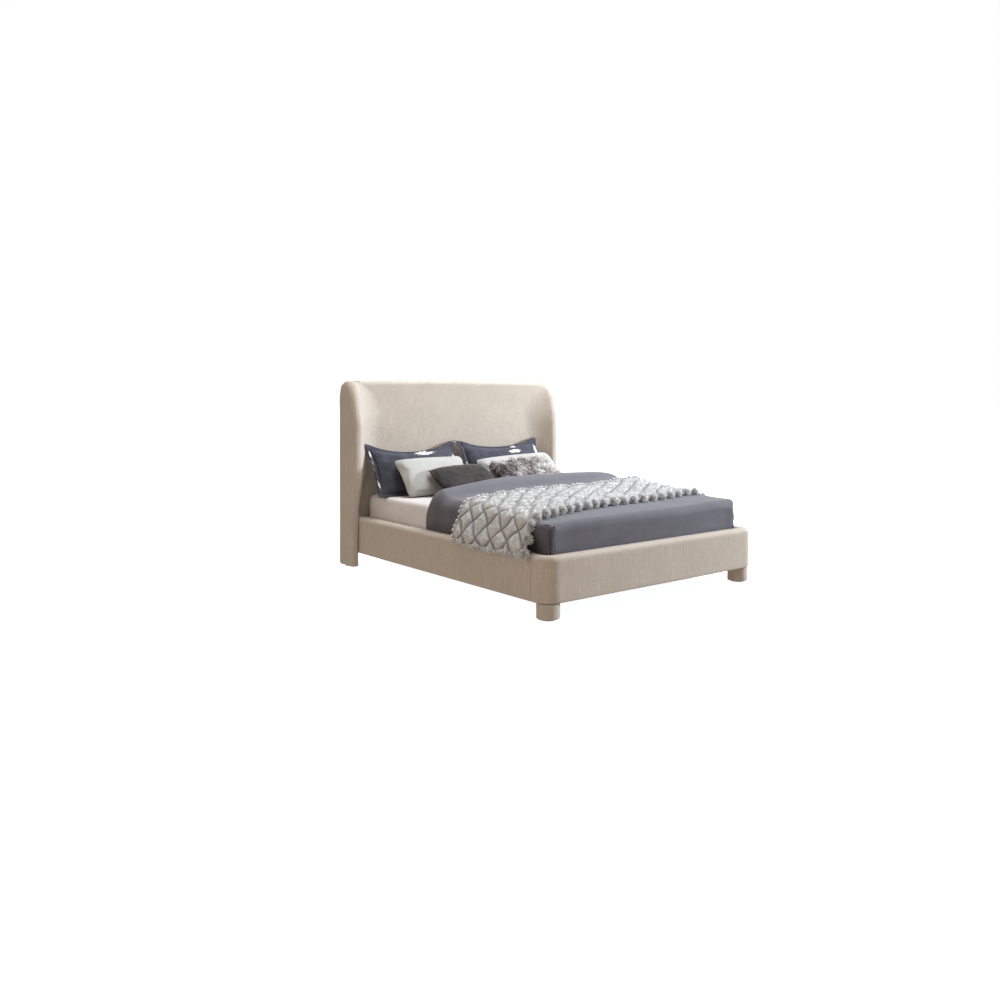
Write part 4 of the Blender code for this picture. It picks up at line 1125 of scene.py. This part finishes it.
def fur_tint(rng, near, place, count, spread=0.10):
    """A strand's colour: pale silver, and slate along the lines."""
    cloudy = np.array([wander((p[0], p[1], 0), 22.0, 3.0) for p in place])
    share = np.clip(0.22 + 0.40 * cloudy + rng.normal(0, spread, count), 0, 1)
    return blended(line_share(near), blended(share, PALE_FUR, SMOKE_FUR), DARK_FUR)


def fur_piece(name, rng, roots, normals, place):
    count = len(roots)
    near = lattice(place[:, 0], place[:, 1])
    locks = np.array([tuple(noise.noise_vector(Vector((p[0], p[1], 0.3)) * 60.0)) for p in place])
    lean = locks * 0.45 + rng.normal(0, 0.08, (count, 3)) + np.array([-0.05, -0.10, -0.16])
    length = rng.uniform(0.006, 0.0105, count) * (1 - 0.75 * line_share(near, 0.0085))
    width = rng.uniform(0.0026, 0.0042, count)
    tint = fur_tint(rng, near, place, count)
    mesh = strands(
        name, rng, roots, normals, lean, length, width, tint,
        parts=2, curl=0.0006, turns=1.5, droop=0.0, painted_root_shade=0.90,
    )
    return piece(name, mesh, "fur", "mattress", "fur", (), 0)


def throw_tufts(rng, raised, normals, s, t):
    """Round tufts, side by side along the throw's four edges."""
    roots, outs, ways, places, sizes = [], [], [], [], []

    def bunch(point, normal, way, place, size):
        count = TUFT_HAIRS
        fan = unit(rng.normal(size=(count, 3)))
        inward = fan @ -(way * 0.8 + normal * 0.5)
        fan[inward > 0] *= -1
        offset = fan * 0.010 + normal * 0.003 - way * 0.004 + rng.normal(0, 0.004, (count, 3))
        roots.append(point + offset * size)
        sizes.append(np.full(count, size))
        outs.append(fan * 0.9 + normal * 0.35 + way * 0.25)
        ways.append(fan + way * 0.15)
        places.append(np.repeat(np.array(place)[None], count, 0))

    def along_edge(points, normals, inside, places, size):
        distance = travelled(points)
        at = 0.012
        while at < distance[-1]:
            i = min(len(points) - 1, int(np.searchsorted(distance, at)))
            way = unit((points[i] - inside[i])[None])[0]
            bunch(points[i], normals[i], way, places[i], size)
            at += rng.uniform(0.050, 0.066) * size

    along_edge(raised[:, 0], normals[:, 0], raised[:, 4], [(x, t[0]) for x in s], 0.55)
    along_edge(raised[:, -1], normals[:, -1], raised[:, -5], [(x, t[-1]) for x in s], 1.45)
    along_edge(raised[0], normals[0], raised[4], [(s[0], x) for x in t], 0.7)
    along_edge(raised[-1], normals[-1], raised[-5], [(s[-1], x) for x in t], 0.7)
    roots, outs, ways, places, sizes = (np.concatenate(x) for x in (roots, outs, ways, places, sizes))
    count = len(roots)
    near = np.maximum(lattice(places[:, 0], places[:, 1]), 0.0145)
    tint = fur_tint(rng, near, places + rng.normal(0, 0.01, places.shape), count)
    length = rng.uniform(0.010, 0.017, count) * sizes
    width = rng.uniform(0.0032, 0.0046, count)
    # Painted light: the tufts' hairs are a quarter paler than the same fur elsewhere, to make up for the
    # shade the tufts cast on themselves.
    mesh = strands(
        "throw_tufts", rng, roots, unit(outs), ways, length, width, tint * 1.25,
        parts=3, curl=0.0012, turns=1.0, droop=0.15, painted_root_shade=0.92,
    )
    return piece("throw_tufts", mesh, "fur", "mattress", "fur", (), 0)


# ---------------------------------------------------------------- pillows
def places_of(mesh):
    points = np.zeros(len(mesh.vertices) * 3)
    mesh.vertices.foreach_get("co", points)
    return points.reshape(-1, 3)


CASE_STEPS = (46, 30)  # how finely a cushion's case is divided, across and up
FILLING_FRAMES, FILLING_REACH = 20, 0.014  # how long the filling runs, and the most it moves the case
FILLING = {
    "quality": 6, "mass": 0.25, "tension_stiffness": 20, "compression_stiffness": 20, "shear_stiffness": 8,
    "bending_stiffness": 0.6, "use_pressure": True, "uniform_pressure_force": 3.0,
}


def crowded(step, count, share):
    """From -1 to 1 in steps that are finer towards both ends."""
    return math.sin(math.pi / 2 * (2 * step / count - 1) * share) / math.sin(math.pi / 2 * share)


def stuffed(name, size, shape, slack):
    """A cushion's case, sewn flat and filled by simulation: its mesh, its points and its seam's vertices."""
    across, up = CASE_STEPS
    bm = bmesh.new()
    layer = bm.loops.layers.uv.new("cloth")
    seam = {}
    for face in (-1, 1):
        grid = {}
        for i in range(across + 1):
            for j in range(up + 1):
                if (i, j) in seam:
                    grid[i, j] = seam[i, j]
                    continue
                u, v = crowded(i, across, 0.96), crowded(j, up, 0.94)
                full = ((1 - u**4) * (1 - v**4)) ** 0.5
                x, z = shape(u, v)
                lump = 0.004 * wander((x, face, z), 9.0, size[0] * 7) * full
                deep = face * (size[2] * 0.44 * full) + lump
                grid[i, j] = bm.verts.new((x * size[0] / 2, deep, z * size[1] / 2))
                if i in (0, across) or j in (0, up):
                    seam[i, j] = grid[i, j]
        for i in range(across):
            for j in range(up):
                quad = (grid[i, j], grid[i + 1, j], grid[i + 1, j + 1], grid[i, j + 1])
                made = bm.faces.new(quad if face < 0 else quad[::-1])
                for loop in made.loops:
                    loop[layer].uv = (loop.vert.co.x, loop.vert.co.z)
    order = [(i, 0) for i in range(across)] + [(across, j) for j in range(up)]
    order += [(i, up) for i in range(across, 0, -1)] + [(0, j) for j in range(up, 0, -1)]
    bm.verts.index_update()
    rim = [seam[key].index for key in order]
    made = linked(bpy.data.objects.new(name, to_mesh(name, bm)))
    before = places_of(made.data)
    cloth = made.modifiers.new("filling", "CLOTH")
    for setting, value in FILLING.items():
        setattr(cloth.settings, setting, value)
    cloth.settings.shrink_min = -slack
    cloth.settings.effector_weights.gravity = 0
    cloth.collision_settings.use_collision = False
    scene = bpy.context.scene
    for number in range(1, FILLING_FRAMES + 1):
        scene.frame_set(number)
    filled = baked(made)
    scene.frame_set(1)
    made.modifiers.clear()
    made.data = filled
    moved = places_of(made.data) - before
    far = np.linalg.norm(moved, axis=1, keepdims=True)
    points = before + moved * np.minimum(1.0, FILLING_REACH / np.maximum(far, 1e-9))
    low, high = points.min(0), points.max(0)
    points = (points - (low + high) / 2) / (high - low) * np.array([size[0], size[2], size[1]])
    mesh = made.data
    bpy.data.objects.remove(made)
    return mesh, points, rim


def box_shape(hollow, rounding=0.0):
    """A rectangle whose sides pull in between its corners, and whose corners are rounded a little."""
    def shape(u, v):
        corner = 1 - rounding * (u * v) ** 6
        return u * (1 - hollow * (1 - v * v)) * corner, v * (1 - hollow * (1 - u * u)) * corner
    return shape


def placed(points, middle, lean, turn, roll):
    """Points moved from a cushion's own place to where it leans."""
    by = (
        Matrix.Translation(middle)
        @ Matrix.Rotation(math.radians(turn), 4, "Z")
        @ Matrix.Rotation(math.radians(-lean), 4, "X")
        @ Matrix.Rotation(math.radians(-roll), 4, "Y")
    )
    rotation = np.array(by.to_3x3())
    return points @ rotation.T + np.array(by.translation)


def rested(points):
    """Flattens whatever would go into the bed, and lets it spread forward."""
    floor = SHEET_TOP + 0.0012
    points[:, 1] -= np.maximum(0.0, floor + 0.004 - points[:, 2]) * 0.55
    points[:, 2] = np.maximum(points[:, 2], floor)
    return points


SHAM_CLEARANCE = 0.005


def before_the_headboard(points):
    """Brings forward whatever would meet the headboard, at rest or as the mattress lifts."""
    for p in points:
        for lift in (0.0, 0.08, 0.16, MATTRESS_LIFT):
            across, face = zip(*headboard_half(p[2] + lift)[1][: SWEEP_STEPS + 1])
            p[1] = min(p[1], float(np.interp(abs(p[0]), across, face)) - SHAM_CLEARANCE)
    return points


def with_points(mesh, points):
    mesh.vertices.foreach_set("co", points.astype(np.float32).ravel())
    mesh.update()
    return mesh


def rounded_off(made):
    sub = made.modifiers.new("smooth", "SUBSURF")
    sub.levels = sub.render_levels = 1
    return made


def filled_case(name, mesh, points, paint, slot):
    """A cushion's case in its own shape, which rides on the body of the same name."""
    made = rounded_off(piece(f"{name}_filled", with_points(mesh, points), paint, name, slot, (name,), 0))
    return made


PRINTED_COTTON = (0.046, 0.048, 0.066)
# Splashes of print: each one's middle in the sham's own plane, and its half width and half height.
LEFT_PRINT = (
    (0.08, 0.158, 0.080, 0.042), (-0.350, 0.135, 0.007, 0.028), (-0.354, 0.065, 0.006, 0.026),
    (-0.354, 0.02, 0.006, 0.020), (-0.350, -0.10, 0.006, 0.030), (0.338, 0.06, 0.012, 0.05),
)
RIGHT_PRINT = (
    (0.13, 0.175, 0.030, 0.022), (0.10, 0.10, 0.055, 0.020),
    (0.348, 0.09, 0.014, 0.08), (-0.352, -0.02, 0.010, 0.05),
)


def sham(name, middle, size, bend, pose, patches):
    """A stuffed sham with a flat border all round; its top sags between two pointed corners."""
    border = 0.030
    core = (size[0] - 2 * border + 0.03, size[1] - 2 * border + 0.035, size[2])
    mesh, points, rim = stuffed(name, core, box_shape(0.02), 0.05)
    ring = points[rim]
    across, up = CASE_STEPS
    corners = (0, across, across + up, 2 * across + up)
    outer = ring.copy()
    for i in range(len(rim)):
        ahead = ring[(i + 1) % len(rim)] - ring[i - 1]
        out = np.array([ahead[2], 0.0, -ahead[0]])
        out /= max(np.linalg.norm(out), 1e-9)
        if np.dot(out[[0, 2]], ring[i][[0, 2]]) < 0:
            out = -out
        reach = border + 0.028 if i in corners else border
        outer[i] = ring[i] + out * reach + np.array([0, 0.002 * math.sin(i * 0.37), 0])

    def shaped(p):
        p = p.copy()
        u = np.abs(p[:, 0] / (size[0] / 2))
        v = p[:, 2] / (size[1] / 2)
        upper = np.clip(v, 0, 1)
        p[:, 2] -= bend * (1 - np.clip(u, 0, 1) ** 1.7) * np.clip((v + 0.2) / 1.2, 0, 1.2) ** 1.5
        p[:, 2] += 0.016 * np.clip(u - 0.72, 0, 1) / 0.28 * upper
        p[:, 1] -= 0.010 * (u**2) * upper
        return before_the_headboard(rested(placed(p, middle, *pose)))

    cloth = printed_cotton(f"{name}_print", PRINTED_COTTON, patches)
    filled = filled_case(name, mesh, shaped(points), cloth, "slate_cotton")
    thick = np.array([0, 0.0016, 0])
    inner = ring * 0.985
    rows = [shaped(p) for p in (inner + thick, outer + thick, outer - thick, inner - thick)]
    bm = bmesh.new()
    layer = bm.loops.layers.uv.new("cloth")
    flat = [ring, outer, outer, ring, ring]
    verts = [[bm.verts.new(p) for p in row] for row in rows]
    verts.append(verts[0])
    for r in range(4):
        for i in range(len(rim)):
            k = (i + 1) % len(rim)
            face = bm.faces.new((verts[r][i], verts[r][k], verts[r + 1][k], verts[r + 1][i]))
            for loop, (a, b) in zip(face.loops, ((r, i), (r, k), (r + 1, k), (r + 1, i))):
                loop[layer].uv = (flat[a][b][0], flat[a][b][2])
    edge = rounded_off(piece(f"{name}_border", bm, cloth, name, "slate_cotton", (), 60.0))
    stitch = tube(shaped(ring * 1.010 + np.array([0, -0.0012, 0])), 0.0010, True, 5)
    piece(f"{name}_stitching", stitch, "velvet", name, "slate_cotton")
    piece(f"{name}_edging", tube(shaped(outer), 0.0020, True, 6), "velvet", name, "slate_cotton")


def pillow(name, middle, size, pose, hollow, droop, rounding):
    """A filled cushion leant in its place: its mesh, its points and its seam's points."""
    mesh, points, rim = stuffed(name, size, box_shape(hollow, rounding), 0.04)
    u, v = points[:, 0] / (size[0] / 2), points[:, 2] / (size[1] / 2)
    points[:, 2] -= droop * (1 - np.clip(np.abs(u), 0, 1) ** 2) * np.clip(v, 0, 1)
    points = rested(placed(points, middle, *pose))
    return mesh, points, points[rim]


def corded_cushion(name, middle, size, pose, shape, cloth, fill, edge, cord):
    """A plain cushion with a cord in its seam; the shape is its hollow, droop and rounding."""
    mesh, points, seam = pillow(name, middle, size, pose, *shape)
    filled_case(name, mesh, points, cloth, cloth)
    piece(f"{name}_{edge}", tube(seam, cord, True, 6), cloth, name, cloth)


MAUVE_HAIR, SILVER_HAIR, BROWN_HAIR = (0.40, 0.335, 0.34), (1.0, 0.97, 0.94), (0.185, 0.145, 0.148)
CUSHION_HAIRS = 4600


def fur_cushion(name, middle, size, pose):
    """A cushion with long curling hair, darker and mauve to one side and silver at the tips."""
    core = (size[0] * 0.94, size[1] * 0.92, size[2] * 0.8)
    mesh, points, _ = pillow(name, middle, core, pose, 0.03, 0.0, 0.05)
    mesh = filled_case(name, mesh, points, "pelt", "fur").data
    mesh.calc_loop_triangles()
    triangles = np.array([tuple(t.vertices) for t in mesh.loop_triangles])
    rng = np.random.default_rng(11)
    count = CUSHION_HAIRS
    roots, normals, _ = scatter(rng, points, triangles, count, [])
    centre = points.mean(0)
    flip = ((roots - centre) * normals).sum(1) < 0
    normals[flip] = -normals[flip]
    locks = np.array([tuple(noise.noise_vector(Vector(p) * 17.0)) for p in roots])
    lean = locks * 1.2 + rng.normal(0, 0.20, (count, 3)) + np.array([0.10, -0.35, -0.25])
    lean += unit(roots - centre) * 0.35
    lean[:, 2] = np.where(roots[:, 2] < 0.56, np.abs(lean[:, 2]) * 0.4, lean[:, 2])
    across = (roots[:, 0] - centre[0]) / core[0]
    height = (roots[:, 2] - centre[2]) / core[1]
    cloudy = np.array([wander(p, 11.0, 5.0) for p in roots])
    share = np.clip(0.52 + 1.2 * across + 0.8 * height + 0.9 * cloudy + rng.normal(0, 0.20, count), 0, 1)
    deep = np.clip(0.42 - 1.2 * across + 1.2 * cloudy[::-1] + rng.normal(0, 0.2, count) - 0.15, 0, 1)
    tint = blended(share, blended(deep, MAUVE_HAIR, BROWN_HAIR), SILVER_HAIR)
    length = rng.uniform(0.034, 0.056, count)
    width = rng.uniform(0.0050, 0.0085, count)
    hair = strands(
        f"{name}_hair", rng, roots, normals, lean, length, width, tint,
        parts=5, curl=0.0105, turns=1.3, droop=0.15, painted_root_shade=0.62,
    )
    raised = places_of(hair)
    raised[:, 2] = np.maximum(raised[:, 2], SHEET_TOP + 0.004)
    piece(f"{name}_hair", with_points(hair, raised), "fur", name, "fur", (), 0)


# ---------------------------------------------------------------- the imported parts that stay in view
def repaint():
    """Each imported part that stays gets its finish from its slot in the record."""
    slots = {row["node"]: row["material_slot"] for row in frame["record"]["subparts"]}
    for name, node in frame["nodes"].items():
        finish = PAINTS.get(slots[name])
        if finish is None:
            continue
        if not node.material_slots:
            node.data.materials.append(finish)
        for slot in node.material_slots:
            slot.material = finish
        if "cloth" not in node.data.uv_layers:
            node.data.uv_layers.new(name="cloth")


# ---------------------------------------------------------------- stage
def stage():
    bm = bmesh.new()
    bmesh.ops.create_grid(bm, x_segments=1, y_segments=1, size=60.0)
    floor = linked(bpy.data.objects.new("floor", to_mesh("floor", bm)))
    paint = Paint("floor", 0.9, specular=0.1)
    mottled = paint.noise(paint.object, 1.5, 2.0)
    paint.set("Base Color", paint.tones(mottled, WHITE, (0.3, 0.90), (0.7, 0.92)))
    paint.set("Emission Color", (0.82, 0.90, 0.97, 1.0))
    paint.set("Emission Strength", 0.96)
    floor.data.materials.append(paint.material)
    floor.visible_diffuse = floor.visible_glossy = False
    world = bpy.data.worlds.new("studio")
    bpy.context.scene.world = world
    world.use_nodes = True
    nodes, links = world.node_tree.nodes, world.node_tree.links
    soft, white = nodes["Background"], nodes.new("ShaderNodeBackground")
    for node, colour, strength in ((soft, (1.0, 0.88, 0.76, 1.0), 0.495), (white, (1, 1, 1, 1), 1.0)):
        node.inputs["Color"].default_value = colour
        node.inputs["Strength"].default_value = strength
    path, mix = nodes.new("ShaderNodeLightPath"), nodes.new("ShaderNodeMixShader")
    links.new(path.outputs["Is Camera Ray"], mix.inputs["Fac"])
    links.new(soft.outputs[0], mix.inputs[1])
    links.new(white.outputs[0], mix.inputs[2])
    links.new(mix.outputs[0], nodes["World Output"].inputs["Surface"])


def lamp(name, place, target, size, power, colour):
    data = bpy.data.lights.new(name, "AREA")
    data.shape = "RECTANGLE"
    data.size, data.size_y = size
    data.energy = power
    data.color = colour
    made = linked(bpy.data.objects.new(name, data))
    made.location = place
    made.rotation_euler = (Vector(target) - Vector(place)).to_track_quat("-Z", "Y").to_euler()


def camera():
    data = bpy.data.cameras.new("camera")
    data.sensor_width = 36.0
    data.lens = 32.92
    data.shift_x, data.shift_y = -0.045, -0.108
    made = linked(bpy.data.objects.new("camera", data))
    made.location = (-3.926, -4.815, 1.219)
    made.rotation_euler = (math.radians(90), 0, -0.689)
    bpy.context.scene.camera = made
    bpy.context.scene.view_settings.view_transform = "Standard"


def main():
    camera()
    stage()
    lamp("key", (6.25, -3.5, 2.2), (0.0, 0.4, 0.7), (0.6, 0.6), 705, (0.80, 0.90, 1.0))
    lamp("top", (0.8, 0.3, 4.2), (0.0, 0.2, 0.4), (3.0, 3.0), 200, (0.9, 0.95, 1.0))
    lamp("fill", (-6.0, -1.2, 1.8), (0.0, 0.0, 0.5), (2.5, 2.5), 34, (1.0, 0.90, 0.80))
    repaint()
    for make in (
        headboard_cover, headboard_back_trim, side_rails, footboard, front_feet,
        mattress, fitted_sheet, duvet, duvet_corner_folds, fur_throw,
    ):
        make()
    sham("sham_left", (-0.434, 0.868, 0.658), (0.720, 0.386, 0.12), 0.055, (34, 0, 0), LEFT_PRINT)
    sham("sham_right", (0.356, 0.868, 0.657), (0.725, 0.385, 0.12), 0.045, (33, 0, 0), RIGHT_PRINT)
    plain = (0.015, -0.012, 0.06), "cream_cotton", 0.7, "piping", 0.0019
    corded_cushion("pillow_left", (-0.385, 0.705, 0.620), (0.56, 0.32, 0.11), (42, 0, 0), *plain)
    corded_cushion("pillow_right", (0.385, 0.690, 0.616), (0.70, 0.33, 0.10), (50, 0, 3), *plain)
    soft = (-0.07, 0.0, 0.02), "velvet", 0.75, "seam", 0.0016
    corded_cushion("cushion_grey", (-0.250, 0.515, 0.598), (0.485, 0.34, 0.10), (60, 0, 4), *soft)
    fur_cushion("cushion_fur", (0.312, 0.540, 0.620), (0.56, 0.29, 0.09), (54, 0, 4))


main()
